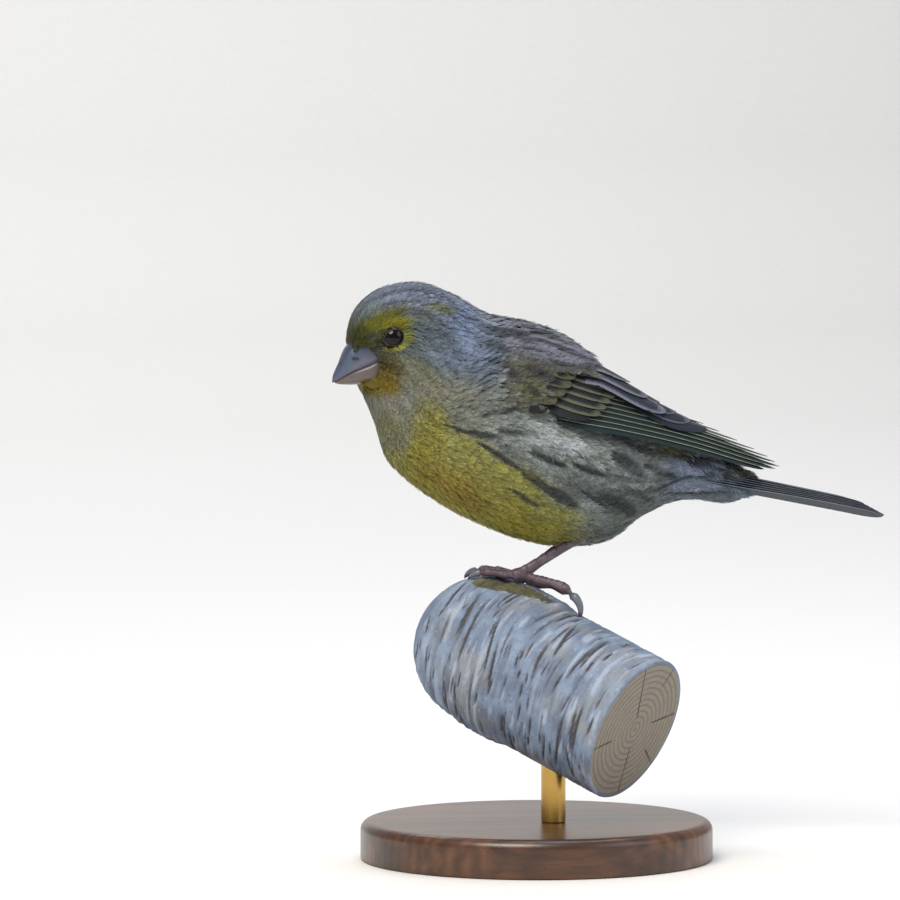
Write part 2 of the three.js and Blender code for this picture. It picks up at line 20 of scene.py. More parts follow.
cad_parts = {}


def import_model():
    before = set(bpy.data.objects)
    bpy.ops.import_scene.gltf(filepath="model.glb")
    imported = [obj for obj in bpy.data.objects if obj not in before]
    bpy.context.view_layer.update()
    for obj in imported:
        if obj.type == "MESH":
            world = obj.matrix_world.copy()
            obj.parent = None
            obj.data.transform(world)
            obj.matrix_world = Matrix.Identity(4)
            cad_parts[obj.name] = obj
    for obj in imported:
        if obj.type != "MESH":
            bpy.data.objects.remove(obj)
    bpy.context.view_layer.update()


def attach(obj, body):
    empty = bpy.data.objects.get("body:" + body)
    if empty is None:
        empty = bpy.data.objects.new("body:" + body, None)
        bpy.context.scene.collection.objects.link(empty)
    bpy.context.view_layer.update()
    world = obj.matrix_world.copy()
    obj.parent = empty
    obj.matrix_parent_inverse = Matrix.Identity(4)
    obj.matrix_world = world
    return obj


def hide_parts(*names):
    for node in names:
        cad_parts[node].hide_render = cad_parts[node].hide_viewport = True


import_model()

LOG = logging.getLogger("canary")
Array = np.ndarray
Place = Callable[[Array, Array], Array]
Mesh = bpy.types.Mesh
Piece = bpy.types.Object
Material = bpy.types.Material
BMesh = bmesh.types.BMesh

MM = 0.001
SHIFT = np.array([-3.0, 6.0, 58.0])
BODY = "root"


def world(points: Array) -> Array:
    """Moves places from the bird's millimetres to the frame's metres."""
    return (np.asarray(points, float) + SHIFT) * MM


def smooth(value: Array | float, low: float, high: float) -> Array:
    """Rises softly from 0 at low to 1 at high."""
    x = np.clip((np.asarray(value, float) - low) / (high - low), 0.0, 1.0)
    return x * x * (3.0 - 2.0 * x)


def mix(a: Array | float, b: Array | float, share: Array | float) -> Array:
    """Goes from a to b by a share."""
    return a + (b - a) * share


def unit(rows: Array) -> Array:
    """Gives rows of vectors the length 1."""
    rows = np.asarray(rows, float)
    return rows / np.maximum(np.linalg.norm(rows, axis=-1, keepdims=True), 1e-9)


def linear(shade: str) -> tuple[float, float, float]:
    """Turns an sRGB hex value, "#rrggbb", into red, green and blue in linear light."""
    parts = [int(shade[i : i + 2], 16) / 255 for i in (1, 3, 5)]
    return tuple(c / 12.92 if c <= 0.04045 else ((c + 0.055) / 1.055) ** 2.4 for c in parts)


class Side(Enum):
    """The bird's two sides. The value is the sign of Y there."""

    LEFT = -1
    RIGHT = 1

    @property
    def label(self) -> str:
        """The side's name in the names of pieces."""
        return self.name.lower()


# Shapes


class Spline:
    """A smooth curve through points, whose bends don't overshoot."""

    def __init__(self, points: Sequence[Sequence[float]]) -> None:
        """Works out the curve's terms between each two points.

        Args:
            points: the places that the curve goes through.
        """
        p = np.asarray(points, float)
        p = np.vstack([2 * p[0] - p[1], p, 2 * p[-1] - p[-2]])
        step = np.sqrt(np.linalg.norm(np.diff(p, axis=0), axis=1))
        step = np.maximum(step, 1e-4)[:, None]
        a, b, c, d = p[:-3], p[1:-2], p[2:-1], p[3:]
        ab, bc, cd = step[:-2], step[1:-1], step[2:]
        leave = ((b - a) / ab - (c - a) / (ab + bc) + (c - b) / bc) * bc
        reach = ((c - b) / bc - (d - b) / (bc + cd) + (d - c) / cd) * bc
        self.terms = np.stack([b, leave, 3 * (c - b) - 2 * leave - reach, 2 * (b - c) + leave + reach], axis=1)

    def at(self, share: Array | float) -> Array:
        """Finds places on the curve.

        Args:
            share: how far along, from 0 to 1, counted by points.

        Returns:
            The places, in rows.
        """
        count = len(self.terms)
        share = np.clip(np.asarray(share, float), 0, 1) * count
        part = np.minimum(share.astype(int), count - 1)
        w = (share - part)[..., None]
        c = self.terms[part]
        return ((c[..., 3, :] * w + c[..., 2, :]) * w + c[..., 1, :]) * w + c[..., 0, :]


class Loft:
    """A form over ribs in the bird's middle plane, each (top x, top z, bottom x, bottom z, half width)."""

    def __init__(self, ribs: Sequence[Sequence[float]]) -> None:
        """Runs one curve along the ribs' tops and one along their bottoms.

        Args:
            ribs: the cross-sections from front to back.
        """
        r = np.asarray(ribs, float)
        self.top = Spline(r[:, [0, 4, 1]])
        self.bottom = Spline(r[:, [2, 4, 3]])

    def place(self, t: Array, angle: Array) -> Array:
        """Finds places on the form.

        Args:
            t: how far back, from 0 to 1.
            angle: the turn round the form, with a quarter turn at the top and 0 at the right side.

        Returns:
            The places, in rows.
        """
        crest, keel = self.top.at(t), self.bottom.at(t)
        found = mix(crest, keel, (0.5 - 0.5 * np.sin(angle))[..., None])
        found[..., 1] = np.maximum(0, crest[..., 1]) * np.cos(angle)
        return found

    def lie(self, t: Array, angle: Array) -> tuple[Array, Array, Array, Array, Array, Array]:
        """Finds how the surface lies at places on the form.

        Args:
            t: how far back, from 0 to 1.
            angle: the turn round the form.

        Returns:
            The places, the unit ways backwards, round and outwards, and the millimetres for a step of 1 in t and
            in the angle.
        """
        e = 1e-3
        t = np.clip(t, 2 * e, 1 - 2 * e)
        here = self.place(t, angle)
        back = (self.place(t + e, angle) - self.place(t - e, angle)) / (2 * e)
        round_ = (self.place(t, angle + e) - self.place(t, angle - e)) / (2 * e)
        out = unit(np.cross(round_, back))
        middle = 0.5 * (self.top.at(t) + self.bottom.at(t))
        middle[..., 1] = 0
        out *= np.where(np.sum((here - middle) * out, axis=-1, keepdims=True) < 0, -1.0, 1.0)
        far = np.linalg.norm(back, axis=-1)
        about = np.linalg.norm(round_, axis=-1)
        return here, unit(back), unit(round_), out, np.maximum(far, 1e-3), np.maximum(about, 1e-3)


def new_object(name: str, mesh: Mesh, finish: Material, slot: str, *nodes: str) -> Piece:
    """Puts a mesh into the scene as a finished piece.

    Args:
        name: the piece's name.
        mesh: its mesh, in metres.
        finish: its material.
        slot: the record's material slot, which is not used.
        *nodes: the solids that it stands for.

    Returns:
        The piece.
    """
    piece = bpy.data.objects.new(name, mesh)
    bpy.context.scene.collection.objects.link(piece)
    mesh.materials.clear()
    mesh.materials.append(finish)
    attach(piece, BODY)
    if nodes:
        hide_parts(*nodes)
    LOG.info("%s: %d faces", name, len(mesh.polygons))
    return piece


def finish_bmesh(bm: BMesh, name: str) -> Mesh:
    """Turns a bmesh into a smooth mesh with its normals outwards.

    The faces' normals are brought up to date first, because moved vertices leave them as they were.

    Args:
        bm: the bmesh, which is freed.
        name: the mesh's name.

    Returns:
        The mesh.
    """
    bm.normal_update()
    bmesh.ops.recalc_face_normals(bm, faces=bm.faces)
    for face in bm.faces:
        face.smooth = True
    mesh = bpy.data.meshes.new(name)
    bm.to_mesh(mesh)
    bm.free()
    return mesh


def places(bm: BMesh) -> Array:
    """Where a bmesh's vertices are, in rows."""
    return np.array([v.co for v in bm.verts])


def put(bm: BMesh, points: Array) -> None:
    """Moves a bmesh's vertices to places in the bird's millimetres."""
    for vertex, co in zip(bm.verts, world(points)):
        vertex.co = co


def ball(place: Place, around: int, along: int) -> tuple[BMesh, Array, Array]:
    """Makes a closed form with two poles out of a sphere.

    Args:
        place: gives the places in millimetres for each share of the length and each angle round it.
        around: how many faces round the form.
        along: how many faces along it.

    Returns:
        The bmesh with the UV map OFBake, and each vertex's share of the length and angle.
    """
    bm = bmesh.new()
    bm.loops.layers.uv.new("OFBake")
    bmesh.ops.create_uvsphere(bm, u_segments=around, v_segments=along, radius=1.0, calc_uvs=True)
    raw = places(bm)
    t = np.arccos(np.clip(raw[:, 2], -1, 1)) / math.pi
    angle = np.arctan2(raw[:, 1], raw[:, 0])
    angle = np.where((t < 1e-6) | (t > 1 - 1e-6), 0.0, angle)
    put(bm, place(t, angle))
    return bm, t, angle


def spin(bm: BMesh, points: list, edges: list, around: int) -> None:
    """Spins points and edges into a closed form round +Z, in that number of steps."""
    geom = points + edges
    bmesh.ops.spin(bm, geom=geom, cent=(0, 0, 0), axis=(0, 0, 1), angle=2 * math.pi, steps=around, use_merge=True)
    bmesh.ops.remove_doubles(bm, verts=bm.verts, dist=1e-4)


def lathe(profile: Sequence[tuple[float, float]], around: int) -> BMesh:
    """Turns a profile round +Z.

    Args:
        profile: radius and height of each point in millimetres, from pole to pole.
        around: how many faces round the form.

    Returns:
        The bmesh, still in millimetres round the origin.
    """
    bm = bmesh.new()
    points = [bm.verts.new((max(r, 0.0), 0.0, z)) for r, z in profile]
    spin(bm, points, [bm.edges.new(pair) for pair in zip(points, points[1:])], around)
    return bm


def give(mesh: Mesh, name: str, values: Array) -> None:
    """Stores a value or a colour for every vertex of a mesh.

    Args:
        mesh: the mesh.
        name: the attribute's name.
        values: one number, or four of a colour in linear light, for each vertex.
    """
    values = np.asarray(values, float)
    if values.ndim == 1:
        mesh.attributes.new(name, "FLOAT", "POINT").data.foreach_set("value", values)
    else:
        layer = mesh.color_attributes.new(name, "BYTE_COLOR", "POINT")
        layer.data.foreach_set("color", np.clip(values, 0, 1).ravel())


def read(rows: bpy.types.bpy_prop_collection, name: str) -> Array:
    """Reads one whole number of each of a mesh's loops or polygons."""
    values = np.empty(len(rows), np.int32)
    rows.foreach_get(name, values)
    return values


def aim(thing: Piece, middle: Sequence[float], azimuth: float, elevation: float, away: float) -> None:
    """Puts a light or the camera into the scene so that it looks at a place.

    Args:
        thing: the light or camera.
        middle: the place, in metres.
        azimuth: degrees round the place, as for views.
        elevation: degrees above level.
        away: metres from the place.
    """
    bpy.context.scene.collection.objects.link(thing)
    a, e = math.radians(azimuth), math.radians(elevation)
    back = Vector((math.sin(a) * math.cos(e), -math.cos(a) * math.cos(e), math.sin(e)))
    thing.location = Vector(middle) + back * away
    thing.rotation_euler = (-back).to_track_quat("-Z", "Y").to_euler()


# Finishes

SOFT = {"interpolation_type": "SMOOTHSTEP"}
COLOUR = {"data_type": "RGBA"}
TINT = {"data_type": "RGBA", "blend_type": "MULTIPLY"}


def rgba(shade: str) -> tuple[float, float, float, float]:
    """A hex value as the four numbers of a colour socket."""
    return (*linear(shade), 1.0)


class Graph:
    """A material's nodes, built from the back to the shader."""

    def __init__(self, name: str) -> None:
        """Starts an empty material of that name."""
        self.material = bpy.data.materials.new(name)
        self.material.use_nodes = True
        self.tree = self.material.node_tree
        self.tree.nodes.clear()

    def add(self, kind: str, settings: dict[str, str] | None = None, out: int | str = 0,
            **inputs: object) -> object:
        """Adds one node with its settings and links.

        Args:
            kind: the node's kind without "ShaderNode".
            settings: the node's own properties.
            out: the output that is wanted.
            **inputs: a value or an output for each input, by its name with _ for a blank, or by i and its number.

        Returns:
            That output, or None where the node has no output.
        """
        node = self.tree.nodes.new("ShaderNode" + kind)
        for key, value in (settings or {}).items():
            setattr(node, key, value)
        for key, value in inputs.items():
            numbered = key[0] == "i" and key[1:].isdigit()
            socket = node.inputs[int(key[1:]) if numbered else key.replace("_", " ")]
            if isinstance(value, bpy.types.NodeSocket):
                self.tree.links.new(value, socket)
            else:
                socket.default_value = value
        return node.outputs[out] if len(node.outputs) else None

    def place(self) -> object:
        """The place in object coordinates, in metres."""
        return self.add("TexCoord", None, "Object")

    def attribute(self, name: str, out: str = "Fac") -> object:
        """One of the piece's attributes."""
        return self.add("Attribute", {"attribute_name": name}, out)

    def stretched(self, vector: object, x: float, y: float, z: float) -> object:
        """Coordinates times three factors."""
        return self.add("Mapping", Vector=vector, Scale=(x, y, z))

    def noise(self, vector: object, *terms: float, **more: float) -> object:
        """Soft noise. The terms are its scale (clouds in a metre), detail and roughness."""
        return self.add("TexNoise", Vector=vector, **{f"i{i}": term for i, term in enumerate(terms, 2)}, **more)

    def cells(self, vector: object, scale: float) -> object:
        """How far the nearest of many scattered points is, with a scale as for noise."""
        return self.add("TexVoronoi", None, "Distance", Vector=vector, i2=scale)

    def math(self, operation: str, *values: object) -> object:
        """One operation on its values."""
        return self.add("Math", {"operation": operation}, **{f"i{i}": value for i, value in enumerate(values)})

    def plus(self, a: object, b: object) -> object:
        """a + b."""
        return self.math("ADD", a, b)

    def times(self, a: object, b: object) -> object:
        """a * b."""
        return self.math("MULTIPLY", a, b)

    def scaled(self, a: object, b: object, c: object) -> object:
        """a * b + c."""
        return self.math("MULTIPLY_ADD", a, b, c)

    def ramp(self, value: object, low: float, high: float, top: float | None = None) -> object:
        """Goes softly from 0 at low to 1 at high, which may be less than low, or to top."""
        found = self.add("MapRange", SOFT, i0=value, i1=low, i2=high)
        return found if top is None else self.times(found, top)

    def blend(self, share: object, *colours: object) -> object:
        """Goes from one colour to another by a share. Each is a hex value or an output."""
        a, b = (rgba(colour) if isinstance(colour, str) else colour for colour in colours)
        return self.add("Mix", COLOUR, 2, i0=share, i6=a, i7=b)

    def bump(self, height: object, strength: float, depth: float) -> object:
        """Relief of a depth in millimetres."""
        return self.add("Bump", Strength=strength, Distance=depth * MM, Height=height)

    def finish(self, **inputs: object) -> Material:
        """Adds the shader, with a value or an output for each input, and gives the material."""
        self.add("OutputMaterial", Surface=self.add("BsdfPrincipled", **inputs))
        return self.material


@dataclass(frozen=True)
class Plume:
    """Feather keratin: a dark shaft, a rim of another colour, and barbs that catch the light one by one.

    Real barbs lie 0.1 mm apart, too fine for the render, so a large feather shows 60 rows and a small one 12.
    """

    name: str
    shaft: str = "#25221f"
    shaft_width: float = 0.3
    barb_rows: float = 12.0
    roughness: float = 0.62
    relief: float = 0.25

    def build(self) -> Material:
        """Builds the material, which reads the attributes core, fringe and edge and the UV map Plume."""
        g = Graph(self.name)
        plume = g.add("UVMap", {"uv_map": "Plume"})
        along = g.add("SeparateXYZ", i0=plume)
        across = g.math("ABSOLUTE", g.add("SeparateXYZ", None, 1, i0=plume))
        barbs = g.noise(g.stretched(plume, self.barb_rows, 1.6, 1.0), 1.0, 3.0)
        uneven = g.scaled(g.plus(g.noise(g.place(), 900.0, 2.0, 0.6), barbs), 0.42, -0.42)
        rim = g.ramp(g.plus(g.attribute("edge"), uneven), 0.15, 0.95)
        colour = g.blend(rim, g.attribute("core", "Color"), g.attribute("fringe", "Color"))
        narrow = g.ramp(g.plus(across, uneven), self.shaft_width, 0.35 * self.shaft_width)
        streak = g.times(g.times(narrow, g.attribute("core", "Alpha")), g.ramp(along, 1.12, 0.95))
        colour = g.blend(streak, colour, self.shaft)
        row = g.scaled(along, self.barb_rows, g.times(across, -2.0))
        wave = g.math("SINE", g.times(row, 2 * math.pi))
        shade = g.scaled(barbs, 0.5, g.plus(g.scaled(wave, 0.07, 0.97), -0.25))
        grey = g.add("CombineColor", i0=shade, i1=shade, i2=shade)
        colour = g.add("Mix", TINT, 2, i0=1.0, i6=colour, i7=grey)
        return g.finish(Base_Color=colour, Roughness=self.roughness, Sheen_Weight=0.04, Sheen_Roughness=0.5,
                        Specular_IOR_Level=0.15, Normal=g.bump(wave, self.relief, 0.1))


@dataclass(frozen=True)
class Horn:
    """Bill and claw horn, grown in layers: a low gloss, faint clouds, a darker ridge and tip, and painted shade in
    the nostrils.
    """

    name: str
    shade: str
    dark: str
    warm: str
    roughness: float = 0.38

    def build(self) -> Material:
        """Builds the material, which reads the attributes dark and warm of the piece."""
        g = Graph(self.name)
        place = g.place()
        cloud = g.noise(place, 700.0, 4.0)
        colour = g.blend(g.ramp(g.plus(g.attribute("warm"), cloud), 0.55, 1.35), self.shade, self.warm)
        colour = g.blend(g.ramp(g.plus(g.attribute("dark"), cloud), 0.6, 1.4), colour, self.dark)
        bump = g.bump(g.noise(place, 2600.0, 3.0), 0.25, 0.08)
        return g.finish(Base_Color=colour, Roughness=self.roughness, Subsurface_Weight=0.08, Coat_Weight=0.12,
                        Subsurface_Scale=0.6 * MM, Coat_Roughness=0.25, Normal=bump)


@dataclass(frozen=True)
class Scutes:
    """Leg skin: horny scutes of 1.2 mm with darker, duller seams, and a fine pebbled grain behind them."""

    name: str = "scuted_leg_skin"
    shade: str = "#53444c"
    dark: str = "#2a2226"
    dust: str = "#6c606c"

    def build(self) -> Material:
        """Builds the material, which reads the attribute seam of the piece."""
        g = Graph(self.name)
        place, seam = g.place(), g.attribute("seam")
        colour = g.blend(g.ramp(g.noise(place, 500.0, 4.0), 0.4, 0.72), self.shade, self.dust)
        colour = g.blend(g.ramp(seam, 0.25, 0.95, 0.8), colour, self.dark)
        height = g.scaled(g.cells(place, 3200.0), 0.6, g.times(seam, -0.6))
        return g.finish(Base_Color=colour, Roughness=0.5, Subsurface_Weight=0.05, Subsurface_Scale=0.5 * MM,
                        Normal=g.bump(height, 0.35, 0.1))


@dataclass(frozen=True)
class WetEye:
    """A living eye: near-black brown iris and pupil under a clear wet cornea, which gives one sharp light."""

    name: str = "wet_eye"
    iris: str = "#100a08"
    rays: str = "#1a100b"
    pupil: str = "#040404"

    def build(self) -> Material:
        """Builds the material, which reads the attribute pupil of the piece."""
        g = Graph(self.name)
        iris = g.blend(g.noise(g.place(), 3000.0), self.iris, self.rays)
        colour = g.blend(g.ramp(g.attribute("pupil"), 0.4, 0.6), iris, self.pupil)
        return g.finish(Base_Color=colour, Roughness=0.12, Coat_Weight=0.3, Coat_Roughness=0.015,
                        Specular_IOR_Level=0.12)


@dataclass(frozen=True)
class Bark:
    """Smooth, dusty grey bark with a painted blue cast of shade light: broken wrinkles 1 to 3 mm apart, dark in
    colour and in painted shade, and a bare olive strip on top with a painted highlight along its rim.
    """

    name: str = "grey_wrinkled_bark"
    # The blue cast of grey, pale, lit, dull and lichen is painted: the tint of bluish shade light laid over grey
    # bark.
    grey: str = "#68778e"
    pale: str = "#8394ab"
    warm: str = "#8f8e88"
    dirt: str = "#55585c"
    lit: str = "#a9b5c8"
    dull: str = "#5f6572"
    lichen: str = "#c6cad3"
    # Dark of the wrinkles and cracks: partly their own colour, partly painted shade in them.
    groove_and_shade: str = "#47454a"
    bare: tuple[str, ...] = ("#64624a", "#45442c", "#77745a")
    # Painted highlight: a near-white line along the raised rim of the bare strip.
    rim_highlight: str = "#dcdcd8"
    wood: tuple[str, ...] = ("#968d7d", "#7c7365", "#857e74")

    def build(self) -> Material:
        """Builds the material, which reads the attributes grain, worn, rim, cut and year of the piece, and the
        wrinkles' depth, which darkens them with their own colour and painted shade; rim sets a painted highlight.
        """
        g = Graph(self.name)
        place = g.place()
        cloud, fine = g.noise(place, 160.0, 5.0, 0.6), g.noise(place, 900.0, 4.0, 0.65)
        rough = g.scaled(fine, 0.5, g.attribute("grain"))
        bark = g.blend(g.ramp(cloud, 0.35, 0.66), self.grey, self.pale)
        for share, shade in (
            (g.ramp(g.noise(place, 95.0, 3.0), 0.45, 0.7, 0.6), self.warm),
            (g.ramp(fine, 0.54, 0.72, 0.5), self.dirt),
            (g.ramp(rough, 0.85, 1.15, 0.6), self.lit),
            (g.ramp(rough, 0.62, 0.35, 0.55), self.dull),
            (g.ramp(g.cells(place, 520.0), 0.16, 0.05, 0.3), self.lichen),
        ):
            bark = g.blend(share, bark, shade)
        bare = g.blend(g.ramp(fine, 0.35, 0.7), *self.bare[:2])
        bare = g.blend(g.ramp(cloud, 0.5, 0.7), bare, self.bare[2])
        colour = g.blend(g.ramp(g.scaled(fine, 0.3, g.attribute("worn")), 0.5, 0.75), bark, bare)
        # Painted highlight along the bare strip's rim.
        colour = g.blend(g.ramp(g.scaled(fine, 0.9, g.attribute("rim")), 1.2, 1.5), colour, self.rim_highlight)
        wave = g.math("SINE", g.times(g.attribute("year"), 2 * math.pi))
        wood = g.blend(g.ramp(g.plus(wave, cloud), 0.4, 1.5), *self.wood[:2])
        wood = g.blend(g.ramp(fine, 0.4, 0.75), wood, self.wood[2])
        colour = g.blend(g.ramp(g.attribute("cut"), 0.4, 0.6), colour, wood)
        # Darkens the wrinkles and cracks: partly their own colour, partly painted shade in them.
        colour = g.blend(g.ramp(g.scaled(fine, 0.5, g.attribute("groove_and_shade")), 0.5, 1.05), colour, self.groove_and_shade)
        return g.finish(Base_Color=colour, Roughness=0.78, Specular_IOR_Level=0.35,
                        Normal=g.bump(g.scaled(fine, 0.5, cloud), 0.6, 0.5))


@dataclass(frozen=True)
class TurnedWalnut:
    """Turned, oiled walnut: long dark grain lines 2 mm apart, short open pores and a satin surface."""

    name: str = "turned_walnut"
    dark: str = "#3a2417"
    pale: str = "#6b4529"
    line: str = "#2c1a10"
    pore: str = "#1a0f09"

    def build(self) -> Material:
        """Builds the material on object coordinates, with the grain along X."""
        g = Graph(self.name)
        place = g.place()
        bands = g.noise(g.stretched(place, 12.0, 160.0, 160.0), 1.0, 4.0, 0.6, Distortion=0.6)
        lines = g.add("TexWave", {"bands_direction": "Y"}, "Fac", Vector=g.stretched(place, 0.12, 1.0, 1.0),
                      Scale=140.0, Distortion=5.0, Detail=3.0)
        pores = g.noise(g.stretched(place, 220.0, 3600.0, 3600.0), 1.0, 2.0)
        colour = g.blend(g.ramp(bands, 0.3, 0.7), self.dark, self.pale)
        colour = g.blend(g.times(lines, 0.45), colour, self.line)
        colour = g.blend(g.ramp(pores, 0.62, 0.72, 0.7), colour, self.pore)
        return g.finish(Base_Color=colour, Roughness=0.34, Coat_Weight=0.25, Coat_Roughness=0.22,
                        Normal=g.bump(g.ramp(pores, 0.72, 0.6), 0.2, 0.1))


@dataclass(frozen=True)
class Brass:
    """Drawn brass rod, rubbed bright: fine lines along it and a slight tarnish in patches."""

    name: str = "drawn_brass"
    bright: str = "#c8a25a"
    tarnish: str = "#96733a"

    def build(self) -> Material:
        """Builds the material on object coordinates."""
        g = Graph(self.name)
        place = g.place()
        cloud = g.noise(place, 120.0, 3.0)
        drawn = g.noise(g.stretched(place, 4000.0, 4000.0, 60.0), 1.0)
        colour = g.blend(g.ramp(cloud, 0.45, 0.7), self.bright, self.tarnish)
        return g.finish(Base_Color=colour, Metallic=1.0, Roughness=g.scaled(cloud, 0.25, 0.16),
                        Normal=g.bump(drawn, 0.15, 0.05))


@dataclass(frozen=True)
class Lid:
    """The bare skin of an eyelid: dark grey, soft and finely beaded."""

    name: str = "eyelid_skin"
    grey: str = "#2e2e26"
    dark: str = "#151512"

    def build(self) -> Material:
        """Builds the material on object coordinates."""
        g = Graph(self.name)
        beads = g.cells(g.place(), 3500.0)
        colour = g.blend(g.ramp(beads, 0.1, 0.6), self.grey, self.dark)
        return g.finish(Base_Color=colour, Roughness=0.5, Normal=g.bump(beads, 0.5, 0.1))


@dataclass(frozen=True)
class MattPaper:
    """A sheet of matt studio paper: an even, pale tone with the faintest fleck and no gloss."""

    name: str = "matt_paper"
    shade: str = "#dfdedb"
    fleck: str = "#e4e3e0"

    def build(self) -> Material:
        """Builds the material on object coordinates."""
        g = Graph(self.name)
        colour = g.blend(g.noise(g.place(), 420.0), self.shade, self.fleck)
        return g.finish(Base_Color=colour, Roughness=0.9)


# The bird's form and its markings

BODY_RIBS = (
    (-33.2, 43.1, -33.2, 43.1, 0),
    (-35.2, 46.7, -32.1, 39.1, 4.0),
    (-33.6, 54.3, -31.3, 36.0, 7.4),
    (-28.6, 58.6, -30.2, 33.3, 8.7),
    (-20.7, 59.9, -29.2, 30.6, 9.6),
    (-13.1, 57.3, -28.1, 26.9, 11.3),
    (-6.0, 53.3, -26.5, 23.2, 14.0),
    (2.0, 51.7, -20.7, 17.9, 16.8),
    (10.5, 48.4, -9.5, 11.2, 17.7),
    (18.2, 41.7, 5.0, 6.1, 16.4),
    (24.0, 34.8, 18.2, 6.4, 12.6),
    (29.0, 29.6, 26.4, 11.7, 8.2),
    (37.0, 24.6, 35.0, 14.8, 5.2),
    (45.3, 20.4, 44.9, 14.0, 3.6),
    (51.5, 17.0, 51.5, 17.0, 0),
)
EYE_AT = np.array([-27.1, -6.6, 49.1])
EYE_RADIUS = 2.5
EYE_OPENING = 1.86
EYE_LONG = 1.05
EYE_HIGH = 0.86
EYE_TURN = math.radians(16.0)
BILL_ROOT = np.array([-33.3, 0.0, 42.8])
BILL_REACH = 3.6


class Outline(Loft):
    """The bird's outline without its limbs, drawn in round the base of the bill."""

    def place(self, t: Array, angle: Array) -> Array:
        """Finds places on the outline, as Loft does."""
        found = super().place(t, angle)
        away = bill_away(found)
        room = 3.1 + 1.5 * np.maximum(away, 0) - 1.3 * smooth(-away, 0, 1.5)
        y = found[..., 1]
        found[..., 1] = y * room / (np.abs(y) ** 8 + room**8) ** 0.125
        return found


def bill_away(p: Array) -> Array:
    """Millimetres from the bare base of the bill, as it shows from the side. It is below 0 in the base."""
    return np.hypot(p[..., 0] - BILL_ROOT[0], p[..., 2] - BILL_ROOT[2]) - BILL_REACH


def eye_away(p: Array) -> Array:
    """Millimetres from the middle of the eye from the side, in a measure that makes its opening round."""
    x, z = p[..., 0] - EYE_AT[0], p[..., 2] - EYE_AT[2]
    c, s = math.cos(EYE_TURN), math.sin(EYE_TURN)
    return np.hypot((x * c + z * s) / EYE_LONG, (z * c - x * s) / EYE_HIGH)


FORM = Outline(BODY_RIBS)


def patch(p: Array, x: float, z: float, wide: float, high: float, turn: float = 0.0, soft: float = 0.5) -> Array:
    """A soft oval on both sides of the bird, as it shows from the side.

    Args:
        p: places in the bird's millimetres.
        x: the oval's middle.
        z: the oval's middle.
        wide: half its length.
        high: half its height.
        turn: degrees that its back end is raised.
        soft: the width of its soft rim, as a share.

    Returns:
        A share from 0 to 1 for each place.
    """
    c, s = math.cos(math.radians(turn)), math.sin(math.radians(turn))
    dx, dz = p[..., 0] - x, p[..., 2] - z
    far = np.hypot((dx * c + dz * s) / wide, (dz * c - dx * s) / high)
    return 1 - smooth(far, 1 - soft, 1 + soft)


@dataclass
class Paint:
    """Colours at many places: of the feathers' middles and rims, and how dark their shaft streaks are."""

    core: Array
    rim: Array
    streak: Array

    def tint(self, inner: Array, outer: Array, middle: str, edge: str) -> None:
        """Tints the middles by the share inner and the rims by the share outer."""
        self.core = mix(self.core, np.array(linear(middle)), inner[..., None])
        self.rim = mix(self.rim, np.array(linear(edge)), outer[..., None])

    def lay(self, share: Array, middle: str, edge: str, line: float = 0.0) -> None:
        """Lays a middle's colour, a rim's colour and a streak over the others by a share."""
        self.tint(share, share, middle, edge)
        self.streak = mix(self.streak, line, share)

    def lay_ovals(self, p: Array, rows: Sequence[tuple]) -> None:
        """Lays ovals over, each with its strength, the numbers that patch takes, two colours and a streak."""
        for strength, *oval, middle, edge, line in rows:
            self.lay(strength * patch(p, *oval), middle, edge, line)


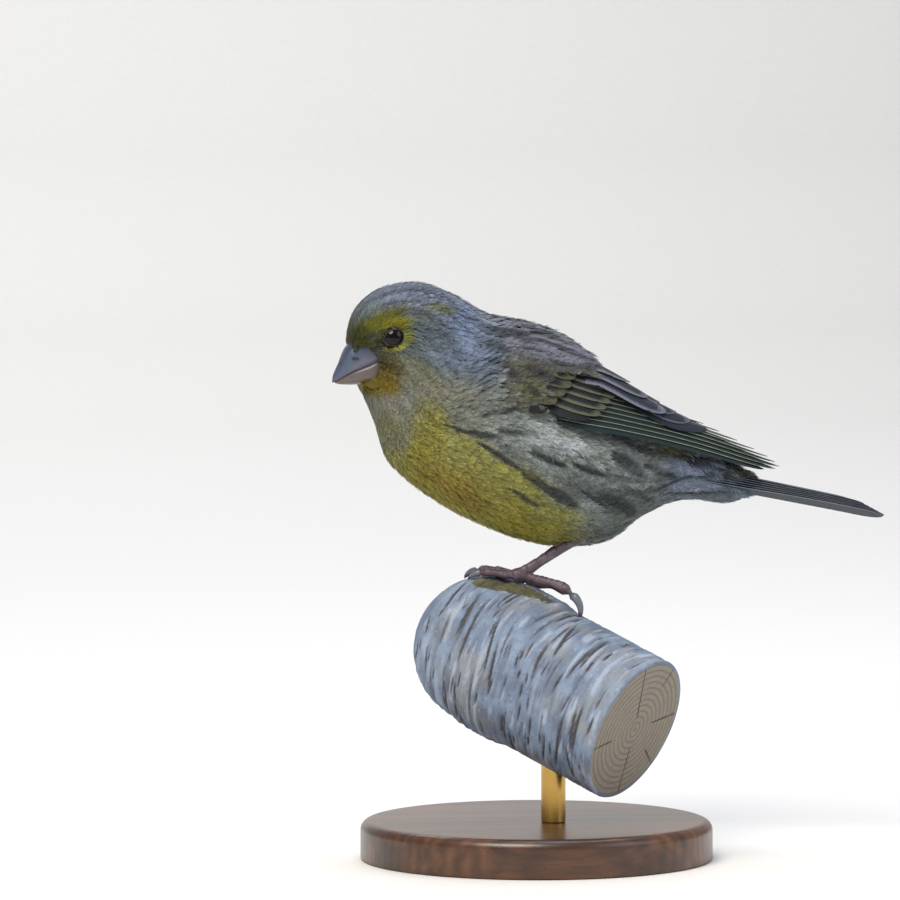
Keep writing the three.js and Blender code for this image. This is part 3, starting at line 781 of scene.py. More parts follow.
class Markings:
    """The bird's colours: at each place, those of a feather's middle and rim, and its shaft streak.

    dashes and blots are dark streaks of the body and the wing, as dashed takes them. The rest are ovals, as
    Paint.lay_ovals takes them.
    """

    dashes = (
        (-10.6, 27.8, -1.9, 22.0, 0.67), (-1.9, 22.0, 3.8, 18.0, 1.16), (3.2, 18.6, 9.8, 14.6, 1.28),
        (0.5, 20.6, 6.5, 15.6, 0.73), (14.0, 17.3, 23.6, 12.6, 1.59), (16.4, 25.2, 24.6, 20.6, 1.46),
        (-0.6, 26.0, 6.9, 22.9, 0.85), (8.0, 23.4, 15.8, 20.6, 0.73), (-18.0, 31.6, -12.1, 29.8, 0.42),
        (-10.4, 33.6, -2.3, 35.1, 0.67), (-15.6, 30.4, -6.0, 29.0, 0.61), (-7.5, 30.6, 0.5, 29.6, 0.61),
        (27.2, 17.2, 34.4, 19.6, 0.4), (34.4, 19.6, 42.5, 19.2, 0.38), (42.5, 19.2, 49.0, 16.6, 0.45),
        (29.0, 16.5, 45.0, 16.1, 0.3), (9.5, 18.6, 16.5, 14.2, 0.61), (20.0, 18.4, 27.5, 15.0, 0.73),
        (24.5, 22.6, 32.5, 19.4, 0.79), (-4.0, 18.4, 2.0, 14.6, 0.55),
    )
    blots = (
        (10.6, 9.4, 18.6, 8.8, 1.25), (3.2, 7.3, 9.4, 7.2, 1.0), (12.4, 5.7, 15.6, 5.0, 0.8),
        (6.6, 12.6, 14.0, 14.0, 0.45), (0.5, 11.2, 5.6, 11.4, 0.4), (15.0, 12.6, 24.0, 13.0, 0.55),
        (17.0, 16.4, 27.0, 15.8, 0.6), (5.0, 4.4, 9.0, 3.6, 0.5),
    )
    throat = (
        (0.45, -20.5, 33.5, 2.4, 4.0, -14, 0.8, "#6d6a2a", "#7e7b44", 0.0),
        (0.5, -14.0, 18.0, 7.0, 2.6, -35, 0.8, "#7a5c1b", "#8a6e34", 0.0),
        (0.7, -29.8, 33.5, 3.0, 5.2, -20, 0.6, "#69665a", "#7c7a70", 0.0),
        (0.75, -28.0, 29.6, 3.0, 3.8, -15, 0.7, "#5d5c34", "#6e6d4a", 0.0),
    )
    tail = (
        (0.9, 37.0, 21.2, 6.5, 1.3, -12, 0.6, "#8790ab", "#9fa7c0", 0.0),
        (0.8, 37.5, 17.7, 6.5, 0.9, -3, 0.6, "#787f95", "#8f96ab", 0.0),
    )
    nape = (
        (1.0, -11.5, 47.5, 8.0, 10.0, -30, 0.5, "#4e5a69", "#606c7d", 0.05),
        (0.35, -12.0, 47.0, 3.0, 4.4, 20, 0.8, "#5f6f8b", "#73829c", 0.0),
        (0.5, -14.5, 52.5, 3.0, 1.2, -25, 0.7, "#5a6040", "#6a7050", 0.0),
        (0.4, -15.0, 41.0, 4.5, 1.6, -15, 0.8, "#5c6150", "#6e7362", 0.0),
    )
    hindcrown = ((0.8, -12.6, 52.2, 3.2, 2.8, -25, 0.7, "#61738f", "#7486a3", 0.0),)
    face = (
        (1.0, -29.6, 52.4, 6.4, 1.9, 24, 0.55, "#4a4c10", "#585a1c", 0.1),
        (1.0, -33.6, 49.2, 2.5, 2.2, 30, 0.5, "#303214", "#3e3f1b", 0.1),
        (1.0, -32.2, 46.8, 2.2, 1.5, 0, 0.5, "#48491a", "#585926", 0.1),
        (1.0, -25.9, 52.1, 2.8, 1.0, 4, 0.6, "#6c6711", "#7a7522", 0.0),
        (0.8, -16.8, 54.6, 2.8, 1.0, -12, 0.6, "#5c6233", "#6d7344", 0.1),
        (0.6, -20.8, 53.4, 2.0, 1.4, 0, 0.6, "#454d40", "#566050", 0.1),
        (0.7, -19.0, 49.6, 4.0, 2.4, -10, 0.7, "#454f56", "#566169", 0.1),
        (1.0, -23.5, 42.0, 6.0, 2.8, -25, 0.5, "#555847", "#696c5c", 0.1),
        (0.7, -16.5, 38.0, 6.0, 2.0, -8, 0.6, "#686758", "#7c7b6c", 0.0),
        (1.0, -27.8, 43.0, 2.2, 3.2, 25, 0.6, "#433e20", "#534e2e", 0.0),
        (1.0, -28.6, 39.6, 3.2, 2.2, -30, 0.6, "#605117", "#6f6127", 0.0),
        (1.0, -31.5, 38.6, 2.4, 1.8, -30, 0.6, "#5e5518", "#6e6528", 0.0),
    )

    def __init__(self, seed: int = 7) -> None:
        """Sets the waves that make the borders uneven, and the table behind the fine strands, from one seed."""
        rng = np.random.default_rng(seed)
        self.ways = unit(rng.normal(size=(9, 3))) * rng.uniform(0.25, 1.1, (9, 1))
        self.starts = rng.uniform(0, 2 * math.pi, 9)
        self.table = rng.random((64, 64))

    def uneven(self, p: Array) -> Array:
        """A soft value between about -1 and 1 that wanders over the bird in 6 to 25 mm."""
        return np.sum(np.sin(p @ self.ways.T + self.starts), axis=-1) / 3.2

    def strands(self, p: Array, up: Array, wide: float, long: float) -> Array:
        """Light and dark that run with the feathers.

        Args:
            p: places in the bird's millimetres.
            up: the sine of each place's angle round the body.
            wide: millimetres from one strand to the next.
            long: how far a strand runs.

        Returns:
            A value from 0 to 1 for each place.
        """
        turn = 17.0 * np.arcsin(np.clip(up, -1, 1)) + np.where(p[..., 1] < 0, 0.0, 31.0)
        across = turn + 0.8 * self.uneven(0.5 * p)
        along = 0.88 * p[..., 0] - 0.47 * p[..., 2] + 2.0 * self.uneven(p[..., ::-1] * 0.4)
        return self.grain(across / wide, along / long)

    def grain(self, across: Array, along: Array) -> Array:
        """Light and dark on a plane: a value from 0 to 1 that changes softly over each unit."""
        a, b = across + 40, along + 40
        i, j = np.floor(a).astype(int), np.floor(b).astype(int)
        u, v = smooth(a - i, 0, 1), smooth(b - j, 0, 1)
        low, high = (mix(self.table[i % 64, k % 64], self.table[(i + 1) % 64, k % 64], u) for k in (j, j + 1))
        return mix(low, high, v)

    def dashed(self, x: Array, z: Array, dashes: Sequence[tuple[float, ...]]) -> Array:
        """Bold dark streaks, each from x, z to x, z with half its width, as a share for each place."""
        dark = np.zeros(x.shape)
        for x0, z0, x1, z1, wide in dashes:
            wx, wz = x1 - x0, z1 - z0
            share = np.clip(((x - x0) * wx + (z - z0) * wz) / (wx * wx + wz * wz), 0, 1)
            far = np.hypot(x - x0 - share * wx, z - z0 - share * wz)
            thin = wide * (0.35 + 0.65 * np.sqrt(np.clip(4 * share * (1 - share), 0, 1)))
            dark = np.maximum(dark, 1 - smooth(far / thin, 0.5, 1.4))
        return dark

    def wing(self, along: Array, above: Array) -> tuple[Array, Array]:
        """Finds the markings of the small feathers over the wing and its shoulder.

        Args:
            along: millimetres behind the wrist.
            above: millimetres above the wing's lower edge.

        Returns:
            The middle's colour and the rim's colour, in rows.
        """
        slant = above - 0.04 * along
        strand, fine = self.grain(slant / 1.5, along / 9.0), self.grain(slant / 0.6, along / 5.0)
        shoulder = smooth(above - 0.1 * along, 9.0, 12.0)
        paint = Paint(np.array(linear("#4c4d45")), np.array(linear("#616357")), np.zeros(slant.shape))
        paint.lay(shoulder, "#575a64", "#6d707c")
        olive = 0.7 * np.exp(-(((along - 13.5) / 3.0) ** 2) - ((above - 5.4) / 1.6) ** 2)
        paint.lay(olive, "#4e502a", "#5e6038")
        tip = np.exp(-(((along - 20.3) / 1.7) ** 2) - ((above - 8.9) / 1.4) ** 2)
        paint.lay(tip, "#6c7440", "#808855")
        lines = smooth(strand, 0.5, 0.68) * mix(0.45, 0.95, shoulder)
        dark = np.maximum(lines, self.dashed(along, above, self.blots) * (0.7 + 0.3 * fine))
        paint.tint(0.94 * dark, 0.88 * dark, "#1b1b21", "#2a2a31")
        soft = (0.76 + 0.48 * fine)[..., None]
        return np.clip(paint.core * soft, 0, 1), np.clip(paint.rim * soft, 0, 1)

    def at(self, p: Array, up: Array) -> tuple[Array, Array, Array]:
        """Finds the markings at places on the bird.

        Args:
            p: places in the bird's millimetres.
            up: the sine of each place's angle round the body, 1 at the top.

        Returns:
            The middle's colour, the rim's colour and the streak, in rows.
        """
        x, z, aside = p[..., 0], p[..., 2], np.abs(p[..., 1])
        wander = self.uneven(p)
        grounds = (np.tile(linear(shade), (*x.shape, 1)) for shade in ("#62675e", "#767a70"))
        paint = Paint(*grounds, np.full(x.shape, 0.1))
        back = smooth(up + 0.05 * wander, 0.1, 0.5) * smooth(x, -12, -4)
        paint.lay(back, "#585b63", "#70737c", 0.3)
        paint.lay(back * smooth(x, 22, 30), "#6a6c56", "#83856f", 0.2)
        flank = smooth(x, -14, -2) * (1 - smooth(up, 0.1, 0.5))
        paint.lay(flank, "#6b7370", "#828a87", 0.15)
        belly_line = np.where(x > -18.8, 32.2 - 0.64 * (x + 18.8), 32.2 + 0.8 * (x + 18.8)) + 1.8 * wander
        yellow = (1 - smooth(z - belly_line, -3.0, 3.2)) * (1 - smooth(x + 1.5 * wander, 8, 18))
        paint.lay(yellow, "#73722f", "#858450")
        paint.lay(yellow * (1 - smooth(z - belly_line, -12, -4)), "#7a721d", "#8b8438")
        paint.lay(0.8 * patch(p, -22.0, 27.0, 3.4, 7.5, -14, 0.8) * smooth(x, -26, -23), "#77721d", "#878238")
        paint.lay_ovals(p, self.throat)
        vent = (1 - smooth(up, -0.5, 0.1)) * smooth(x + wander, 12, 21)
        paint.lay(vent, "#4f5852", "#636c65", 0.1)
        paint.lay(vent * smooth(x, 26, 34), "#5a626b", "#747b86", 0.2)
        beside = 0.7 * smooth(x, 27, 34) * smooth(up, -0.6, -0.1) * (1 - smooth(up, 0.2, 0.6))
        paint.lay(beside, "#4f6172", "#647686")
        paint.lay_ovals(p, self.tail)
        head = 1 - smooth(x + 0.28 * (50.0 - z), -15, -8)
        paint.lay(head * smooth(z, 37, 43), "#535d5e", "#667072", 0.12)
        paint.lay_ovals(p, self.nape)
        crown = smooth(z + 0.32 * (x + 30), 54.8, 57.3) * (1 - smooth(x, -12, -4))
        paint.lay(crown, "#5b6475", "#6f7889", 0.3)
        paint.lay_ovals(p, self.hindcrown)
        paint.lay((1 - smooth(x, -36.0, -33.0)) * smooth(z, 49, 52) * 0.7, "#50545a", "#62666a", 0.2)
        paint.lay_ovals(p, self.face)
        self.ring_eye(paint, p)
        strand, fine = self.strands(p, up, 1.6, 11.0), self.strands(p, up, 0.75, 5.5)
        narrow = smooth(x, 22, 30)
        bold = self.dashed(x, z, self.dashes) * smooth(aside, mix(3, 0.6, narrow), mix(6, 1.8, narrow))
        bold = bold * (0.6 + 0.4 * smooth(fine, 0.1, 0.5))
        side = flank * (1 - 0.85 * yellow) * smooth(aside, 3, 8)
        lined = smooth(strand, 0.5, 0.72) * np.maximum.reduce([0.95 * back, 0.45 * crown, 0.55 * side])
        dark = np.clip(np.maximum(bold, lined), 0, 1)
        paint.tint(0.92 * dark, 0.88 * dark, "#1d2124", "#2c3134")
        tuft = patch(p, 5.5, 27.6, 5.6, 1.5, -14, 0.6) * smooth(aside, 8, 11)
        pale = smooth(1 - strand, 0.55, 0.85) * (0.42 * side * smooth(z, 14, 20) + 0.2 * back)
        pale = np.maximum(pale, 0.85 * tuft)
        paint.tint(pale, pale, "#9ea5a8", "#b1b8bd")
        soft = mix(0.74 + 0.52 * fine, 0.6 + 0.78 * fine, head * smooth(z, 38, 46))[..., None]
        return np.clip(paint.core * soft, 0, 1), np.clip(paint.rim * soft, 0, 1), np.clip(paint.streak, 0, 1)

    def ring_eye(self, paint: Paint, p: Array) -> None:
        """Lays the pale broken ring and the yellow brow round the eye."""
        far, turn = eye_away(p), np.arctan2(p[..., 2] - EYE_AT[2], p[..., 0] - EYE_AT[0])
        ring = smooth(far, 1.8, 2.0) * smooth(np.abs(p[..., 1]), 4, 6)
        near = ring * (1 - smooth(far, 3.1, 3.9))
        paint.lay(near * smooth(np.cos(turn + 0.95), 0.1, 0.45), "#7f8038", "#939452")
        behind = 0.8 * ring * (1 - smooth(far, 3.2, 4.8)) * smooth(np.cos(turn - 0.25), 0.6, 0.95)
        paint.lay(behind, "#5a5f26", "#6a6f36")
        paint.lay(near * smooth(np.cos(turn - 1.6), 0.3, 0.8), "#625e14", "#706c24")
        paint.lay(near * smooth(np.cos(turn - math.pi), 0.5, 0.9), "#3d3f1e", "#4c4d2a")


MARKINGS = Markings()


def coat_depth(p: Array) -> Array:
    """How deep the skin lies under the feathers' tips: least at the bill and the eyes.

    Args:
        p: places on the bird's outline, in its millimetres.

    Returns:
        Millimetres for each place.
    """
    from_bill = np.linalg.norm(p - BILL_ROOT, axis=-1)
    depth = mix(0.45, 1.35, smooth(from_bill, 4, 30))
    return mix(0.4, depth, smooth(eye_away(p), 2.5, 7))


@dataclass
class Skin:
    """One skin under all the feathers, from the bill to the tail, with a socket for each eye."""

    around: int = 144
    along: int = 220
    shade: float = 0.8

    def build(self) -> Piece:
        """Builds the skin in a darker shade of the colours of the feathers over it."""

        def place(t: Array, angle: Array) -> Array:
            """Finds places on the skin, which sinks into a socket at each eye."""
            here, _, _, out, _, _ = FORM.lie(t, angle)
            pole = (t < 1e-6) | (t > 1 - 1e-6)
            out = np.where(pole[:, None], np.where(t < 0.5, -1.0, 1.0)[:, None] * np.array([1.0, 0, 0]), out)
            here = here - out * coat_depth(here)[:, None]
            for side in Side:
                eye = EYE_AT * (1, -side.value, 1)
                far = np.linalg.norm(here - eye, axis=-1, keepdims=True)
                inside = (here[:, 1:2] * side.value > 0) & (far < EYE_RADIUS + 1.2)
                inward = np.array([0, side.value, 0]) * (1 - smooth(eye_away(here), 1.3, 2.1))[:, None]
                sunk = here - inward * 2.4
                here = np.where(inside, sunk, here)
            return here

        bm, t, angle = ball(place, self.around, self.along)
        mesh = finish_bmesh(bm, "skin")
        core, rim, _ = MARKINGS.at(FORM.place(t, angle), np.sin(angle))
        ones = np.ones((len(t), 1))
        give(mesh, "core", np.hstack([core * self.shade, ones * 0]))
        give(mesh, "fringe", np.hstack([rim * self.shade, ones]))
        give(mesh, "edge", np.full(len(t), 0.3))
        uv = mesh.uv_layers.new(name="Plume")
        uv.data.foreach_set("uv", np.full(len(mesh.loops) * 2, 0.4))
        finish = Plume("feathered_skin", shaft_width=0.01, relief=0.0).build()
        return new_object("canary_skin", mesh, finish, "breast", "head", "neck", "torso", "rump")


# Feathers of the coat

PATCH_SIZE = 0.003


@dataclass(frozen=True)
class Blade:
    """One small feather laid flat: barbs from a shaft, joined near it and free towards their tips."""

    along: Array
    across: Array
    lift: Array
    edge: Array
    tone: Array
    corners: Array

    @classmethod
    def of(cls, barbs: int, free: float, rng: np.random.Generator) -> Blade:
        """Lays out one feather.

        Args:
            barbs: how many barbs a side.
            free: the share of each barb that stands free.
            rng: makes each feather a little different.

        Returns:
            The feather, 1 long and 1 from its shaft to its rim.
        """
        q = np.linspace(0, 1, barbs + 1)
        root = 0.03 + 0.85 * q
        end = root + mix(0.34, 0.17, q)
        wide = np.sqrt(np.maximum(0.03, 1 - ((end - 0.62) / 0.45) ** 2))
        joined, none, ones = 1 - free, np.zeros(barbs + 1), np.ones(barbs + 1)
        rows = [(root, none, none, 0.5 * smooth(root, 0.7, 1.0), ones)]
        faces: list[tuple[int, int, int]] = []
        start = barbs + 1
        for sign in (1, -1):
            lift = rng.normal(0, 0.03, barbs + 1)
            tip = 0.5 * (end[1:] + end[:-1]) + rng.normal(0.03, 0.045, barbs)
            reach = 0.5 * (wide[1:] + wide[:-1]) * (1 + rng.normal(0.0, 0.14, barbs))
            free_lift, shade = rng.normal(0, 0.1, barbs), rng.normal(1, 0.16, barbs + 1)
            edge = np.full(barbs + 1, 0.4) + 0.3 * smooth(end, 0.8, 1.05)
            rows.append((mix(root, end, joined) + 0.01, sign * wide * joined**0.85, lift, edge, shade))
            rows.append((tip, sign * reach, free_lift, ones[1:], shade[:-1]))
            for j in range(barbs):
                a, b, c, d, e = j, j + 1, start + j + 1, start + j, start + barbs + 1 + j
                made = [(a, b, c), (a, c, d), (d, c, e)]
                faces += made if sign > 0 else [face[::-1] for face in made]
            start += 2 * barbs + 1
        rows.append((np.array([1.05]), none[:1], none[:1], ones[:1], ones[:1]))
        faces += [(barbs, start, 2 * barbs + 1), (barbs, 4 * barbs + 2, start)]
        return cls(*(np.concatenate(column) for column in zip(*rows)), np.array(faces))

    def spots(self, roots: Array) -> Array:
        """The places of each feather's points on an unwrap: a small patch at its root's place there."""
        spread = np.stack([self.across * 0.5, self.along - 0.5], axis=1) * PATCH_SIZE
        return roots[:, None] + spread[None]


@dataclass
class Plumage:
    """Feathers gathered for one piece of the coat."""

    name: str
    slot: str
    rows: dict[str, list[Array]] = field(default_factory=dict)
    count: int = 0

    def keep(self, **rows: Array) -> None:
        """Keeps rows of numbers by name."""
        for name, values in rows.items():
            self.rows.setdefault(name, []).append(values.reshape(-1, values.shape[-1]))

    def add(self, blade: Blade, points: Array, core: Array, fringe: Array, spots: Array) -> None:
        """Adds feathers of one layout.

        Args:
            blade: the feathers' layout.
            points: the places of each feather's points, in millimetres.
            core: the middle colour and streak, one for each feather or each point.
            fringe: the rim colour likewise.
            spots: the places of each feather's points on the map OFBake.
        """
        feathers, size = points.shape[:2]
        starts = self.count + np.arange(feathers)[:, None, None] * size
        shade = np.stack([blade.tone] * 3 + [np.ones(size)], axis=1)
        core, fringe = (colour.reshape(feathers, -1, 4) * shade for colour in (core, fringe))
        plume = np.tile(np.stack([blade.along, blade.across], axis=1), (feathers, 1))
        edge = np.tile(blade.edge, feathers)[:, None]
        self.keep(co=points, corners=blade.corners + starts, core=core, fringe=fringe, edge=edge)
        self.keep(Plume=plume, OFBake=spots)
        self.count += feathers * size

    def build(self, finish: Material) -> Piece:
        """Makes the piece."""
        rows = {name: np.concatenate(values) for name, values in self.rows.items()}
        corners = rows["corners"].ravel().astype(np.int32)
        mesh = bpy.data.meshes.new(self.name)
        mesh.vertices.add(self.count)
        mesh.vertices.foreach_set("co", world(rows["co"]).ravel())
        mesh.loops.add(len(corners))
        mesh.loops.foreach_set("vertex_index", corners)
        mesh.polygons.add(len(corners) // 3)
        mesh.polygons.foreach_set("loop_start", np.arange(0, len(corners), 3, dtype=np.int32))
        mesh.polygons.foreach_set("use_smooth", np.ones(len(corners) // 3, bool))
        mesh.update(calc_edges=True)
        give(mesh, "core", rows["core"])
        give(mesh, "fringe", rows["fringe"])
        give(mesh, "edge", rows["edge"][:, 0])
        for name in ("OFBake", "Plume"):
            mesh.uv_layers.new(name=name).data.foreach_set("uv", rows[name][corners].astype(np.float32).ravel())
        mesh.uv_layers.active_index = 0
        return new_object(self.name, mesh, finish, self.slot)


@dataclass
class Coat:
    """The small feathers of head and body, each rooted in the skin and laid back over the next ones."""

    seed: int = 11
    stations: int = 6
    kinds: int = 6
    tries: int = 5
    cell: float = 1.1

    def spacing(self, p: Array) -> Array:
        """Millimetres between roots: closest at the bill and eyes."""
        from_bill = np.linalg.norm(p - BILL_ROOT, axis=-1)
        apart = mix(0.37, 0.48, smooth(from_bill, 3, 16))
        apart = mix(apart, 0.62, smooth(from_bill, 18, 40))
        return mix(0.36, apart, smooth(eye_away(p), 2, 6))

    def length(self, p: Array) -> Array:
        """Each feather's length in millimetres."""
        from_bill = np.linalg.norm(p - BILL_ROOT, axis=-1)
        long = mix(1.3, 3.6, smooth(from_bill, 3, 14))
        long = mix(long, 7.6, smooth(from_bill, 14, 40))
        long = mix(long, 9.0, smooth(from_bill, 50, 70))
        return mix(1.1, long, smooth(eye_away(p), 2.4, 6.5))

    def loose(self, p: Array) -> Array:
        """How many millimetres feathers stand off, to lie over the wing's front and lower edge and fill the rump.

        Args:
            p: places in the bird's millimetres.

        Returns:
            Millimetres for each place.
        """
        x, z, aside = p[..., 0], p[..., 2], smooth(np.abs(p[..., 1]), 4, 8)
        low = np.interp(x, WING_LOW[:, 0], WING_LOW[:, 2])
        below = np.exp(-(((z - low + 1.5) / 2.6) ** 2)) * smooth(x, -12, -6) * (1 - smooth(x, 8, 18))
        front = patch(p, -10.5, 41.0, 6.5, 8.0, 10, 0.6)
        rump = smooth(x, 22, 28) * (1 - smooth(x, 40, 47)) * smooth(z + 0.9 * x, 52, 56)
        under = smooth(x, 17, 24) * (1 - smooth(x, 33, 42)) * smooth(z + 0.5 * x, 39, 42)
        rump = np.maximum(rump, 2.4 * under * (1 - aside))
        return np.maximum(np.maximum(1.5 * front, 1.3 * below) * aside, 1.6 * rump)

    def hidden(self, p: Array) -> Array:
        """Which places lie well under the folded wing."""
        x, z = p[..., 0], p[..., 2]
        low = np.interp(x, WING_LOW[:, 0], WING_LOW[:, 2])
        high = np.interp(x, WING_HIGH[:, 0], WING_HIGH[:, 2])
        inner = (x > -8) & (x < 46) & (z > low + 3.0) & (z < high - 2.5)
        return inner & (np.abs(p[..., 1]) > 5)

    def roots(self, rng: np.random.Generator) -> tuple[Array, Array]:
        """Spreads the feathers' roots evenly but at random over the form.

        Args:
            rng: chooses the roots.

        Returns:
            Each root's share of the length and its angle.
        """
        turns = np.linspace(-math.pi, math.pi, 180, endpoint=False)
        ts, angles = np.meshgrid(np.linspace(0.074, 0.985, 260), turns, indexing="ij")
        ahead, beside = ts[1, 0] - ts[0, 0], angles[0, 1] - angles[0, 0]
        p, _, _, _, far, about = FORM.lie(ts, angles)
        weight = far * about / self.spacing(p) ** 2
        weight[self.hidden(p)] = 0
        tries = int(weight.sum() * ahead * beside * self.tries)
        chosen = rng.choice(weight.size, tries, p=(weight / weight.sum()).ravel())
        t = ts.ravel()[chosen] + rng.uniform(-0.5, 0.5, tries) * ahead
        angle = angles.ravel()[chosen] + rng.uniform(-0.5, 0.5, tries) * beside
        p = FORM.place(t, angle)
        apart = self.spacing(p)
        cells: dict[tuple[int, int, int], list[int]] = {}
        keep: list[int] = []
        keys = np.floor(p / self.cell).astype(int)
        places, gaps = p.tolist(), (apart**2).tolist()
        for i, (kx, ky, kz) in enumerate(keys.tolist()):
            x, y, z = places[i]
            gap = gaps[i]
            near = (
                (x - places[j][0]) ** 2 + (y - places[j][1]) ** 2 + (z - places[j][2]) ** 2 < gap
                for a in (kx - 1, kx, kx + 1)
                for b in (ky - 1, ky, ky + 1)
                for c in (kz - 1, kz, kz + 1)
                for j in cells.get((a, b, c), ())
            )
            if not any(near):
                cells.setdefault((kx, ky, kz), []).append(i)
                keep.append(i)
        return t[keep], angle[keep]

    def way(self, p: Array, angle: Array, back: Array, up: Array) -> Array:
        """The way that feathers lie at places, along the skin.

        Args:
            p: the places.
            angle: their angles.
            back: the unit ways backwards.
            up: the unit ways upwards round the body.

        Returns:
            Unit ways.
        """
        aside = np.abs(np.cos(angle))
        shoulder = patch(p, -9.0, 38.5, 11.0, 7.5, -20, 0.5)
        turned = np.radians(26) * shoulder * aside
        found = back * np.cos(turned)[..., None] + up * np.sin(turned)[..., None]
        eye = EYE_AT * np.where(p[..., 1:2] < 0, 1, [1, -1, 1])
        away = p - eye
        away[..., 1] = 0
        far = np.linalg.norm(away, axis=-1, keepdims=True)
        return unit(found + 1.1 * away / np.maximum(far, 0.1) * np.exp(-((far / 3.4) ** 2)))

    def grow(self) -> list[Piece]:
        """Grows the whole coat.

        Returns:
            Its pieces.
        """
        rng = np.random.default_rng(self.seed)
        t, angle = self.roots(rng)
        p = FORM.place(t, angle)
        open_ = ~((eye_away(p) < 2.0) & (np.abs(p[:, 1]) > 4)) & (bill_away(p) > -0.4)
        t, angle, p = t[open_], angle[open_], p[open_]
        LOG.info("coat: %d feathers", len(t))
        length = self.length(p) * rng.uniform(0.85, 1.15, len(t))
        from_bill = np.linalg.norm(p - BILL_ROOT, axis=-1)
        half = length * mix(0.22, 0.135, smooth(from_bill, 7, 28)) * rng.uniform(0.9, 1.1, len(t))
        paths = self.paths(t, angle, length / (self.stations - 1), rng.normal(0, 0.09, len(t)))
        tone = rng.normal(1.0, 0.09, len(t))
        rise = mix(0.03, 0.22, smooth(from_bill, 6, 34)) * rng.uniform(0.2, 1.6, len(t))
        rise += self.loose(p) * rng.uniform(0.6, 1.3, len(t))
        radius = np.maximum(FORM.lie(t, angle)[5], 3.0)
        measures = np.stack([length, half, coat_depth(p), rise, radius, tone], axis=1)
        unwrap = np.stack([(angle / (2 * math.pi)) % 1.0, t], axis=1)
        finish = Plume("body_feather").build()
        made: list[Piece] = []
        for name, slot, chosen in self.sort(t, angle, p):
            plumage = Plumage(name, slot)
            fine = from_bill[chosen] < 13
            for small, barbs, free in ((True, 7, 0.6), (False, 9, 0.62)):
                for kind in range(self.kinds):
                    blade = Blade.of(barbs, free, rng)
                    pick = np.flatnonzero(chosen)[fine == small][kind :: self.kinds]
                    if len(pick):
                        self.lay(plumage, blade, [row[pick] for row in paths], measures[pick], unwrap[pick])
            if plumage.count:
                made.append(plumage.build(finish))
        return made

    def paths(self, t: Array, angle: Array, step: Array, veer: Array) -> list[Array]:
        """Follows each feather from its root over the form.

        Args:
            t: each root's share of the length.
            angle: each root's angle.
            step: millimetres from one station to the next.
            veer: how far each feather turns to one side.

        Returns:
            At each feather's stations, the place, the way across it, the way outwards and the sine of the angle.
        """
        rows: list[tuple[Array, Array, Array, Array]] = []
        for _ in range(self.stations):
            here, back, round_, out, far, about = FORM.lie(t, angle)
            sign = np.where(np.cos(angle) >= 0, 1.0, -1.0)
            way = self.way(here, angle, back, round_ * sign[:, None])
            way = unit(way + np.cross(out, way) * veer[:, None])
            rows.append((here, np.cross(out, way), out, np.sin(angle)))
            t = np.clip(t + step * np.sum(way * back, axis=1) / far, 0, 0.998)
            angle = angle + step * np.sum(way * round_, axis=1) / np.maximum(about, 1.0)
        return [np.stack(column, axis=1) for column in zip(*rows)]

    def lay(self, plumage: Plumage, blade: Blade, paths: list[Array], measures: Array, unwrap: Array) -> None:
        """Lays feathers of one layout along their paths.

        Args:
            plumage: the piece that takes them.
            blade: their layout.
            paths: what paths gives, for these feathers.
            measures: each feather's length, half width, depth at the root, rise, radius of the form and tone.
            unwrap: the roots' places on the map OFBake.
        """
        length, half, depth, rise, radius, tone = measures.T[:, :, None]
        s = np.clip(blade.along, 0, 1.08) * (self.stations - 1)
        k = np.minimum(s.astype(int), self.stations - 2)
        w = (s - k)[None, :, None]
        on, side, out = (mix(row[:, k], row[:, k + 1], w) for row in paths[:3])
        up = mix(paths[3][:, k], paths[3][:, k + 1], w[..., 0])
        across = blade.across[None] * half
        height = -depth + (depth + rise) * np.clip(blade.along, 0, 1.1)[None] ** 0.8
        height = height + blade.lift[None] * mix(0.25, 1.0, smooth(length, 2, 7))
        height = height - across**2 / (2 * radius) - 0.12 * np.abs(across)
        flat = on + side * across[..., None]
        core, rim, streak = MARKINGS.at(mix(flat, flat[:, -1:], 0.35), up)
        core = np.concatenate([core * tone[..., None], streak[..., None]], axis=2)
        rim = np.concatenate([rim * tone[..., None], np.ones_like(up)[..., None]], axis=2)
        plumage.add(blade, flat + out * height[..., None], core, rim, blade.spots(unwrap))

